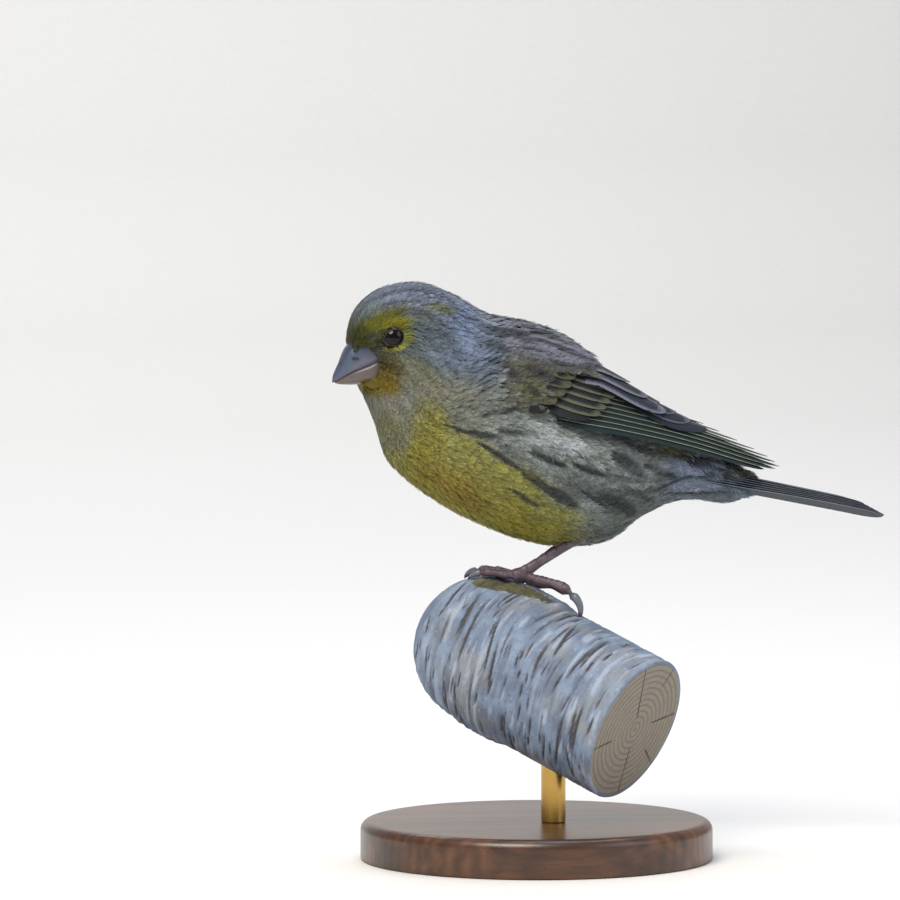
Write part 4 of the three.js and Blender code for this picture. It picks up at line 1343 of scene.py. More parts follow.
    def sort(self, t: Array, angle: Array, p: Array) -> list[tuple[str, str, Array]]:
        """Shares the feathers out among the coat's pieces.

        Args:
            t: each root's share of the length.
            angle: each root's angle.
            p: each root's place.

        Returns:
            Each piece's name, its material slot and which feathers it has.
        """
        up = np.sin(angle)
        left = p[:, 1] < 0
        head = (p[:, 0] - NECK_FRONT[0]) * 0.9 - (p[:, 2] - NECK_FRONT[2]) * 0.43 < 0
        neck = ~head & ((p[:, 0] - NECK_BACK[0]) * 0.79 - (p[:, 2] - NECK_BACK[2]) * 0.61 < 0)
        rump = p[:, 0] * 0.98 - p[:, 2] * 0.2 > 21 * 0.98 - 21 * 0.2
        torso = ~head & ~neck & ~rump
        rows: list[tuple[str, str, Array]] = []
        for sign, which in (("left", left), ("right", ~left)):
            rows += [
                (f"coat_crown_{sign}", "crown", head & which & (up > 0.35)),
                (f"coat_face_{sign}", "crown", head & which & (up <= 0.35)),
                (f"coat_nape_{sign}", "nape", neck & which & (up > 0)),
                (f"coat_throat_{sign}", "nape", neck & which & (up <= 0)),
                (f"coat_mantle_{sign}", "rump", torso & which & (up > 0.3)),
                (f"coat_breast_{sign}", "breast", torso & which & (up <= 0.3) & (p[:, 0] < 0)),
                (f"coat_belly_{sign}", "breast", torso & which & (up <= 0.3) & (p[:, 0] >= 0)),
                (f"coat_rump_{sign}", "rump", rump & which),
            ]
        return rows


# Wings

WING_LENGTH = 69.5
WING_BULGE = 3.6
WING_LOW = np.array(
    ((-14, -14.5, 37.0), (1.0, -18.2, 31.4), (16.7, -17.0, 29.0), (33.4, -10.6, 25.4), (55.0, -5.0, 19.3))
)
WING_HIGH = np.array(
    ((-4.5, -7.0, 52.2), (8.0, -4.0, 49.2), (21.5, -2.2, 41.0), (36.0, -1.4, 32.0), (55.5, -1.4, 22.3))
)
NECK_FRONT = (-22.0, 0.0, 44.5)
NECK_BACK = (-15.5, 0.0, 39.0)


class Fold:
    """The folded left wing as a shell between its lower and its upper edge."""

    low = Spline(WING_LOW)
    high = Spline(WING_HIGH)

    def shell(self, a: Array, above: Array) -> tuple[Array, Array]:
        """Finds places on the shell.

        Args:
            a: how far along, from 0 at the wrist to 1 at the tip.
            above: millimetres above the lower edge.

        Returns:
            The places, and their share of the wing's height.
        """
        low, high = self.low.at(a), self.high.at(a)
        share = above / np.linalg.norm(high - low, axis=-1)
        bulge = WING_BULGE * (1 - 0.9 * smooth(a, 0.35, 1)) * 4 * share * (1 - share)
        return mix(low, high, share[..., None]) + bulge[..., None] * np.array([0, -0.8, 0.5]), share

    def place(self, along: Array, above: Array, lift: Array) -> Array:
        """Finds places off the shell, which sinks into the body at the wrist and along its upper edge.

        Args:
            along: how far along, which may be over 1.
            above: millimetres above the lower edge.
            lift: millimetres off the shell.

        Returns:
            The places, in rows.
        """
        along, above, lift = np.broadcast_arrays(along, above, lift)
        a = np.clip(along, 0.002, 0.998)
        here, share = self.shell(a, above)
        forward = unit(self.shell(a + 0.002, above)[0] - self.shell(a - 0.002, above)[0])
        upward = self.shell(a, above + 0.1)[0] - self.shell(a, above - 0.1)[0]
        out = unit(np.cross(upward, forward))
        out = out * np.where(out[..., 1:2] > 0, -1.0, 1.0)
        sunk = 2.6 * (1 - smooth(a, 0, 0.16)) + 1.9 * smooth(share, 0.6, 1) * (1 - smooth(a, 0.55, 0.85))
        beyond = (along - a) * WING_LENGTH
        return here + forward * beyond[..., None] + out * (lift - sunk)[..., None]


@dataclass(frozen=True)
class Tier:
    """A stack of large feathers. Each overlies the one before it, as slates do.

    above, pitch and lift give, for a place along the wing, the first feather's height, the step to the next and how
    far it lies off the shell. The pale rims are rim_low wide on the outer vane and rim_high on the inner one.
    """

    name: str
    tips: Sequence[float]
    root: float
    above: Callable[[Array], Array]
    pitch: Callable[[Array], Array]
    lift: Callable[[Array], Array]
    tilt: float
    width: float
    sharp: float
    apart: float
    core: str
    rim: str
    rim_low: float = 0.25
    rim_high: float = 0.15
    rim_tip: float = 0.06


@dataclass(frozen=True)
class Small:
    """Small feathers over a part of the shell, in offset rows.

    span is the part's shares along the wing. low and high are its edges in millimetres above the wing's lower edge,
    each at the wrist, further on, and the share where it gets there. apart is the millimetres between roots, along
    and up. lift is how far the tips lie off the shell: the millimetres, how many more, and the shares between which
    they come. The seeds spread the roots and vary the feathers.
    """

    name: str
    slot: str
    span: tuple[float, float]
    low: tuple[float, float, float]
    high: tuple[float, float, float]
    apart: tuple[float, float]
    length: float
    half: float
    lift: tuple[float, float, float, float]
    seeds: tuple[int, int]

    def roots(self) -> Array:
        """Spreads the roots.

        Returns:
            Each root's share along the wing and its millimetres above the lower edge.
        """
        rng = np.random.default_rng(self.seeds[0])
        rows: list[tuple[float, float]] = []
        far, beside = self.apart[0] / WING_LENGTH, self.apart[1]
        for i, at in enumerate(np.arange(*self.span, far)):
            low, high = (float(mix(first, last, smooth(at, 0, end))) for first, last, end in (self.low, self.high))
            for m in np.arange(low + (i % 2) * beside / 2, high, beside):
                rows.append((at + rng.normal(0, 0.3) * far, m + rng.normal(0, 0.2) * beside))
        rng.shuffle(rows)
        return np.array(rows)


SMALL = (
    Small("wing_lesser_coverts", "wing", (-0.01, 0.175), (2.2, 2.2, 1.0), (12.5, 12.5, 1.0), (0.95, 0.6),
          5.6, 0.75, (2.6, -0.1, 0.0, 0.15), (21, 31)),
    Small("wing_scapulars", "rump", (-0.03, 0.275), (9.0, 12.0, 0.28), (15.5, 20.5, 0.2), (1.0, 0.6),
          7.6, 0.85, (2.4, 0.6, 0.15, 0.35), (22, 32)),
)
FOLD = Fold()
TIERS = (
    Tier("inner", (0.8, 0.75, 0.7, 0.64), 0.18,
         lambda a: mix(16.5, 7.0, smooth(a, 0.25, 0.72)), lambda a: 1.3,
         lambda a: mix(-0.4, 0.7, smooth(a, 0.3, 0.5)),
         0.1, 6.4, 0.2, 0.25, "#1c242e", "#5c5d69", 0.2, 0.1, 0.05),
    Tier("flight", (0.955, 0.985, 1.0, 0.985, 0.96, 0.925, 0.885, 0.84, 0.79), 0.3,
         lambda a: mix(1.9, 1.2, smooth(a, 0.4, 1)), lambda a: 1.12,
         lambda a: -0.1 - 0.4 * smooth(a, 0.75, 1),
         0.42, 3.2, 0.2, 0.5, "#1f2c2f", "#95a186", 0.16, 0.0, 0.02),
    Tier("tertials", (0.65, 0.585, 0.52), 0.25,
         lambda a: mix(13.2, 7.4, smooth(a, 0.3, 0.68)), lambda a: mix(1.7, 2.1, smooth(a, 0.32, 0.56)),
         lambda a: mix(-0.6, 1.8, smooth(a, 0.28, 0.42)),
         0.2, 5.4, 0.4, 0.45, "#1c242e", "#686977", 0.36, 0.22, 0.09),
    Tier("greater_coverts", (0.39, 0.425, 0.44, 0.465, 0.47, 0.49), 0.16,
         lambda a: mix(6.4, 1.2, (a - 0.16) / 0.33), lambda a: 1.75,
         lambda a: mix(0.2, 1.4, smooth(a, 0.2, 0.42)),
         0.26, 3.9, 0.55, 0.4, "#11191e", "#57594a", 0.4, 0.08, 0.12),
    Tier("median_coverts", (0.255, 0.285, 0.3, 0.318, 0.325), 0.1,
         lambda a: mix(5.0, 2.6, (a - 0.1) / 0.22), lambda a: 2.1,
         lambda a: mix(-0.2, 1.9, smooth(a, 0.08, 0.25)),
         0.22, 4.6, 0.6, 0.4, "#15181e", "#4d4e3c", 0.3, 0.26, 0.22),
)
ACROSS = np.array([-1, -0.9, -0.78, -0.62, -0.4, -0.14, -0.05, 0, 0.05, 0.14, 0.4, 0.62, 0.78, 0.9, 1.0])


def plate(along: int) -> tuple[Array, Array, Array, Array]:
    """Lays out a closed thin vane: both faces on the same grid, and a wall round the rim.

    Args:
        along: how many steps from root to tip.

    Returns:
        Each point's share of the length, its share of the width, its face as 1 or -1, and the triangles.
    """
    u = 1 - (1 - np.linspace(0, 1, along + 1)) ** 1.15
    grid_u, grid_v = np.meshgrid(u, ACROSS, indexing="ij")
    row, count = len(ACROSS), grid_u.size
    faces: list[tuple[int, int, int]] = []
    for a in (i * row + j for i in range(along) for j in range(row - 1)):
        b, c, d = a + row, a + row + 1, a + 1
        faces += [(a, b, c), (a, c, d), (a + count, c + count, b + count), (a + count, d + count, c + count)]
    rim = [i * row for i in range(along + 1)] + [along * row + j for j in range(1, row)]
    rim += [i * row + row - 1 for i in range(along - 1, -1, -1)] + [j for j in range(row - 2, 0, -1)]
    for a, b in zip(rim, rim[1:] + rim[:1]):
        faces += [(a, a + count, b), (b, a + count, b + count)]
    u, v = (np.tile(grid.ravel(), 2) for grid in (grid_u, grid_v))
    return u, v, np.repeat([1.0, -1.0], count), np.array(faces)


@dataclass
class Vanes:
    """Large feathers with a raised shaft, thin vanes and here and there a split."""

    name: str
    slot: str
    thick: float = 0.16
    steps: int = 44
    seed: int = 5
    plumage: Plumage = field(init=False)
    taken: int = 0

    def __post_init__(self) -> None:
        """Starts the piece with no feathers."""
        self.plumage = Plumage(self.name, self.slot)
        self.rng = np.random.default_rng(self.seed)
        self.u, self.v, self.face, self.corners = plate(self.steps)

    def add(self, place: Callable[[Array, Array, Array], Array], edge: Array, core: str, rim: str, shape: Array,
            shaft: float = 1.0, lean: float = 0.0, flip: bool = False) -> None:
        """Adds one feather.

        Args:
            place: gives places for shares of the length and the width and millimetres off the vane's middle.
            edge: how much of the rim's colour each point has.
            core: the colour of the middle.
            rim: the colour of the rim.
            shape: the vane's half width at each point, as a share of the greatest.
            shaft: how dark the shaft is.
            lean: how far the shaft lies to one side, as a share.
            flip: turns the faces round, for a feather whose width runs the other way.
        """
        ragged = np.ones_like(self.u)
        for _ in range(self.rng.integers(1, 4)):
            where, side = self.rng.uniform(0.3, 0.92), self.rng.choice([-1, 1])
            near = np.exp(-(((self.u - where) / 0.012) ** 2)) * smooth(self.v * side, 0.7, 1.0)
            ragged -= self.rng.uniform(0.08, 0.25) * near
        ragged *= 1 + 0.012 * np.sin(self.u * 150 + self.rng.uniform(0, 6)) * smooth(np.abs(self.v), 0.8, 1)
        v = self.v * ragged
        v = v + lean * (1 - v**2)
        body = self.thick * (0.5 - 0.3 * np.abs(self.v)) * mix(1.0, 0.5, smooth(self.u, 0.7, 1.0))
        ridge = 0.14 * np.exp(-((self.v / 0.07) ** 2)) * (1 - 0.8 * self.u) * (self.face > 0)
        cup = -0.1 * self.v**2
        points = place(self.u, v * shape, self.face * body + ridge + cup)
        corners = self.corners[:, ::-1] if flip else self.corners
        blade = Blade(self.u, self.v, self.v * 0, edge, np.ones_like(self.u), corners)
        tone = float(self.rng.normal(1.0, 0.13))
        middle = np.array([[*(np.array(linear(core)) * tone), 0.9 * shaft]])
        border = np.array([[*(np.array(linear(rim)) * (0.5 + 0.5 * tone)), 1.0]])
        columns, rows = 6, 10
        x, y = self.taken % columns, self.taken // columns
        spots = np.stack([(x + 0.08 + 0.4 * (self.v + 1)) / columns, (y + 0.04 + 0.9 * self.u) / rows], axis=1)
        self.plumage.add(blade, points[None], middle, border, spots[None])
        self.taken += 1


def large_feather(name: str) -> Material:
    """The finish of the large feathers of wings and tail."""
    return Plume(name, shaft_width=0.07, barb_rows=60.0, roughness=0.5, relief=0.35).build()


@dataclass
class Wing:
    """One folded wing: scapulars over the shoulder, three tiers of coverts, tertials and the flight feathers."""

    side: Side

    def spread(self, points: Array) -> Array:
        """Moves places of the left wing to this wing."""
        return points * np.array([1, -self.side.value, 1])

    def tier(self, vanes: Vanes, tier: Tier) -> None:
        """Adds one stack of large feathers.

        Args:
            vanes: the piece that takes them.
            tier: their sizes and colours.
        """
        u, v = vanes.u, vanes.v
        full = np.sin(np.pi * np.minimum(0.5, 0.2 + 0.9 * u))
        taper = np.sqrt(np.maximum(0, 1 - np.maximum(0, (u - (1 - tier.sharp)) / tier.sharp) ** 2.4))
        shape = full * np.maximum(0.06, taper)
        rims = ((v, tier.rim_low), (-v, tier.rim_high))
        low, high = (1 - smooth(1 + x, 0, 2 * wide) if wide else 0 * v for x, wide in rims)
        tip = smooth(u, 1 - 1.6 * tier.rim_tip, 1)
        edge = np.maximum(np.maximum(low, high), tip)
        for k, end in enumerate(tier.tips):
            jitter = float(vanes.rng.normal(0, 0.004))

            def place(share: Array, wide: Array, off: Array) -> Array:
                """Finds places on this feather."""
                a = mix(tier.root, end + jitter, share)
                pitch = tier.pitch(a)
                rank = tier.apart - tier.tilt * pitch
                half = 0.5 * tier.width * wide
                lift = tier.lift(a) + k * rank - tier.tilt * half + off
                return self.spread(FOLD.place(a, tier.above(a) + k * pitch + half, lift))

            lowest = k == 0 and tier.name != "tertials"
            vanes.add(place, edge * (0.25 if lowest else 1), tier.core, tier.rim, shape,
                      lean=-0.3 if tier.name == "flight" else -0.08, flip=self.side is Side.RIGHT)

    def small(self, small: Small) -> Piece:
        """Lays small feathers over the shell.

        Args:
            small: where, how large and how high they are.

        Returns:
            The piece.
        """
        spots, rng = small.roots(), np.random.default_rng(small.seeds[1])
        plumage = Plumage(f"{small.name}_{self.side.label}", small.slot)
        count = len(spots)
        long, wide = small.length * rng.uniform(0.8, 1.15, count), small.half * rng.uniform(0.85, 1.15, count)
        veer, tone = rng.normal(-0.03, 0.07, count), rng.normal(1, 0.09, count)
        for kind in range(6):
            blade = Blade.of(9, 0.6, rng)
            if self.side is Side.RIGHT:
                blade = replace(blade, corners=blade.corners[:, ::-1])
            pick = np.arange(kind, count, 6)
            s, c = blade.along[None], blade.across[None] * wide[pick, None]
            a = spots[pick, :1] + s * long[pick, None] / WING_LENGTH
            above = spots[pick, 1:] + c + veer[pick, None] * s * long[pick, None]
            lift, more, start, stop = small.lift
            height = lift + more * smooth(spots[pick, :1], start, stop)
            height = height - 0.7 * (1 - smooth(spots[pick, 1:], 1.0, 5.5))
            height = height - 1.2 * (1 - np.clip(s, 0, 1)) ** 0.8 - 0.05 * c**2 + 0.6 * blade.lift[None]
            points = self.spread(FOLD.place(a, above, height))
            core, rim = MARKINGS.wing(mix(a, a[:, -1:], 0.35) * WING_LENGTH, mix(above, above[:, -1:], 0.35))
            ones = np.ones((*a.shape, 1))
            core = np.concatenate([core * tone[pick, None, None], 0.15 * ones], axis=2)
            rim = np.concatenate([rim * tone[pick, None, None], ones], axis=2)
            patches = np.stack([0.1 + 0.5 * spots[pick, 0], 0.5 + spots[pick, 1] / 50], axis=1)
            plumage.add(blade, points, core, rim, blade.spots(patches))
        return plumage.build(Plume(f"{small.name}_feather").build())

    def build(self) -> list[Piece]:
        """Builds the wing's pieces."""
        flight = Vanes(f"wing_flight_{self.side.label}", "wing", seed=5)
        coverts = Vanes(f"wing_coverts_{self.side.label}", "wing", steps=30, seed=6)
        for tier in TIERS[:3]:
            self.tier(flight, tier)
        for tier in TIERS[3:]:
            self.tier(coverts, tier)
        finish = large_feather("flight_feather")
        made = [flight.plumage.build(finish), coverts.plumage.build(finish)]
        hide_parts(f"wing_{self.side.label}")
        return made + [self.small(small) for small in SMALL]


# Tail

TAIL_LENGTH = 55.0
TAIL_ROOT = np.array([23.0, 0.0, 22.6])
TAIL_SLOPE = math.radians(12.7)
TAIL_A_SIDE = 6


class Tail:
    """Twelve tail feathers with a shallow notch, the middle pair on top."""

    def place(self, along: Array, aside: Array, up: Array) -> Array:
        """Finds places in the tail, in millimetres along it, to the side and up."""
        c, s = math.cos(TAIL_SLOPE), math.sin(TAIL_SLOPE)
        return np.stack([along * c + up * s, aside, -along * s + up * c], axis=-1) + TAIL_ROOT

    def build(self) -> Piece:
        """Builds the tail."""
        vanes = Vanes("tail_feathers", "tail", steps=44, seed=9)
        u, v = vanes.u, vanes.v
        edge = np.maximum(1 - smooth(1 - v, 0, 0.34), 0.5 * smooth(u, 0.97, 1))
        full = np.sin(np.pi * np.minimum(0.5, 0.2 + 0.6 * u))
        shape = full * np.maximum(0.08, np.sqrt(np.maximum(0, 1 - np.maximum(0, (u - 0.88) / 0.12) ** 2.2)))
        for side in Side:
            for rank in range(TAIL_A_SIDE):
                length = TAIL_LENGTH - 4 + 0.8 * min(rank, 4) - (0.6 if rank == 5 else 0.0)

                def place(share: Array, wide: Array, off: Array) -> Array:
                    """Finds places on this feather."""
                    reach = mix(9.0, length, share)
                    opened = smooth(reach, 5, 50)
                    pitch = mix(0.25, 1.05, opened)
                    shaft = mix(1.75, 2.75, opened) + pitch * rank - 0.35 * (rank == 0)
                    half = np.minimum(2.45 + 0.35 * (rank == 0), mix(1.75, 2.75, opened) - 0.1) * wide
                    up = 1.7 - (0.6 - 0.3 * pitch) * rank + 0.3 * half + off
                    return self.place(reach, side.value * (shaft + half), up)

                vanes.add(place, edge, "#2a3137", "#7f8a9a", shape, lean=0.25, flip=side is Side.LEFT)
        made = vanes.plumage.build(large_feather("tail_feather"))
        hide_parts("tail")
        return made


# Bill and eyes


@dataclass
class Bill:
    """The short, deep cone of a seed eater's bill: an upper and a lower horn that meet along the mouth."""

    around: int = 64
    along: int = 56
    upper: tuple = (
        (-28.0, 46.5, -28.0, 46.5, 0),
        (-31.7, 49.5, -28.8, 43.9, 3.35),
        (-35.3, 46.9, -31.5, 42.7, 3.35),
        (-37.0, 43.4, -34.3, 41.7, 2.7),
        (-38.1, 41.0, -36.9, 40.3, 1.3),
        (-38.3, 39.5, -38.3, 39.5, 0),
    )
    lower: tuple = (
        (-28.0, 40.8, -28.0, 40.8, 0),
        (-28.9, 44.2, -30.0, 38.8, 3.35),
        (-31.7, 43.1, -32.6, 39.2, 3.2),
        (-34.4, 42.0, -34.9, 39.2, 2.35),
        (-36.8, 40.6, -37.0, 39.3, 1.1),
        (-37.9, 39.7, -37.9, 39.6, 0),
    )
    nostril: tuple = (-34.0, 3.1, 44.6)

    def half(self, finish: Horn, top: bool) -> Piece:
        """Builds one half of the bill.

        Args:
            finish: its horn.
            top: whether it is the upper half.

        Returns:
            The piece.
        """
        form, node = (Loft(self.upper), "bill_upper") if top else (Loft(self.lower), "bill_lower")
        name = f"{node}_horn"

        def place(t: Array, angle: Array) -> Array:
            """Finds places on the horn: boxy along the mouth, ridged, and sunk in at the nostrils."""
            p = form.place(t, angle)
            level, across = np.sin(angle), np.cos(angle)
            outer = mix(2.8, 1.8, smooth(t, 0.3, 0.7)) if top else 2.3
            boxy = np.where((level < 0) if top else (level > 0), 5.0, outer)
            full = (1 - np.minimum(np.abs(level), 1) ** boxy) ** (1 / boxy)
            p[:, 1] *= full / np.maximum(np.abs(across), 1e-4)
            ridge = np.maximum(0, level if top else -level) ** 8
            p[:, 2] += (0.12 if top else -0.08) * ridge * np.sin(np.pi * t)
            if top:
                for sign in (-1, 1):
                    hole = np.array(self.nostril) * (1, sign, 1)
                    far = np.linalg.norm((p - hole) / (1.3, 1.0, 0.7), axis=1)
                    p[:, 1] -= sign * 0.25 * (1 - smooth(far, 0.2, 0.75)) * (p[:, 1] * sign > 0)
            return p

        bm, t, angle = ball(place, self.around, self.along)
        mesh = finish_bmesh(bm, name)
        p = place(t, angle)
        if top:
            # Painted shade: a dark spot in each nostril opening, which is only a shallow dent.
            hole = np.linalg.norm((np.abs(p) - np.abs(self.nostril)) / (1.3, 1.2, 0.65), axis=1)
            dark = np.maximum(0.6 * np.maximum(0, np.sin(angle)) ** 2, 1.3 * (1 - smooth(hole, 0.3, 0.9)))
            dark = np.maximum(dark, 0.7 * smooth(t, 0.72, 1.0))
            warm = 0.7 * smooth(-np.sin(angle), -0.2, 0.5)
        else:
            dark = 0.5 * smooth(t, 0.85, 1.0)
            warm = 0.55 + 0.35 * smooth(-np.sin(angle), -0.2, 0.6)
        give(mesh, "dark", dark)
        give(mesh, "warm", warm)
        return new_object(name, mesh, finish.build(), "bill", node)

    def build(self) -> list[Piece]:
        """Builds both halves."""
        upper = Horn("upper_bill_horn", "#4a556b", "#262a36", "#5f5d6d")
        lower = Horn("lower_bill_horn", "#565058", "#3c3943", "#60564f")
        return [self.half(upper, True), self.half(lower, False)]


@dataclass
class Eyes:
    """Both eyeballs and the soft rim of their lids."""

    pupil: float = 1.15
    lid: float = 0.14

    def build(self) -> list[Piece]:
        """Builds the eyes and the lids."""
        wet, skin = WetEye().build(), Lid().build()
        made: list[Piece] = []
        for side in Side:
            eye = EYE_AT * (1, -side.value, 1)

            def place(t: Array, angle: Array) -> Array:
                """Finds places on the eyeball, whose poles lie in front and behind."""
                reach, out = EYE_RADIUS * np.sin(t * math.pi), side.value * EYE_RADIUS * np.cos(t * math.pi)
                return eye + np.stack([reach * np.cos(angle), out, reach * np.sin(angle)], axis=1)

            bm, t, _ = ball(place, 48, 40)
            mesh = finish_bmesh(bm, f"eye_{side.label}")
            reach = EYE_RADIUS * np.sin(t * math.pi)
            give(mesh, "pupil", 1 - smooth(reach, self.pupil - 0.25, self.pupil + 0.25))
            made.append(new_object(f"eyeball_{side.label}", mesh, wet, "eye", f"eye_{side.label}"))
            made.append(self.rim(side, eye, skin))
        return made

    def rim(self, side: Side, eye: Array, skin: Material) -> Piece:
        """Builds one lid rim: a beaded ring laid over the eyeball and drawn out to a corner in front.

        Args:
            side: which eye.
            eye: the middle of its ball.
            skin: the lid's material.

        Returns:
            The piece.
        """
        bm, reach = bmesh.new(), EYE_OPENING + 0.5 * self.lid
        turns = np.linspace(0, 2 * math.pi, 12, endpoint=False)
        ring = [bm.verts.new((reach + self.lid * math.cos(a), 0, 0.8 * self.lid * math.sin(a))) for a in turns]
        spin(bm, ring, [bm.edges.new((ring[i], ring[i - 1])) for i in range(12)], 72)
        flat = places(bm)
        beads = 1 + 0.02 * np.sin(30 * np.arctan2(flat[:, 1], flat[:, 0]))
        long, high = flat[:, 0] * EYE_LONG * beads, flat[:, 1] * EYE_HIGH * beads
        long = long - 0.3 * smooth(-long, 1.5, 2.2) * (1 - smooth(np.abs(high), 0, 0.9))
        c, s = math.cos(EYE_TURN), math.sin(EYE_TURN)
        y = side.value * (np.sqrt(np.maximum(0.1, EYE_RADIUS**2 - long**2 - high**2)) + 0.1 + flat[:, 2])
        put(bm, eye + np.stack([long * c - high * s, y, long * s + high * c], axis=1))
        return new_object(f"lid_rim_{side.label}", finish_bmesh(bm, f"lid_{side.label}"), skin, "crown")


# Perch

PERCH_END = np.array([-5.8, 0.0, -15.7])
PERCH_AXIS = unit(np.array([0.656, -0.656, -0.375]))
PERCH_RADIUS = 15.3
PERCH_LENGTH = 38.0
SWELLING = 0.7


def turned(angle: Array) -> Array:
    """Brings angles to between minus and plus half a turn."""
    return (angle + math.pi) % (2 * math.pi) - math.pi


def perch_girth(t: Array | float) -> Array:
    """The perch's radius at millimetres behind the middle of its dome."""
    return PERCH_RADIUS + SWELLING * smooth(t, -1, 4) * (1 - smooth(t, 10, 14))


def perch_top(x: float, y: float) -> float:
    """The height of the perch's top under a place, in the bird's millimetres."""
    qx, qy = x - PERCH_END[0], y - PERCH_END[1]
    flat = qx * PERCH_AXIS[0] + qy * PERCH_AXIS[1]
    square = qx * qx + qy * qy
    rise = PERCH_RADIUS
    for _ in range(5):
        t = flat + rise * PERCH_AXIS[2]
        if t < 0:
            rise = math.sqrt(max(0.0, PERCH_RADIUS**2 - square))
        else:
            a = 1 - PERCH_AXIS[2] ** 2
            b = -2 * flat * PERCH_AXIS[2]
            c = square - flat**2 - float(perch_girth(t)) ** 2
            rise = (-b + math.sqrt(max(0.0, b * b - 4 * a * c))) / (2 * a)
    return PERCH_END[2] + rise


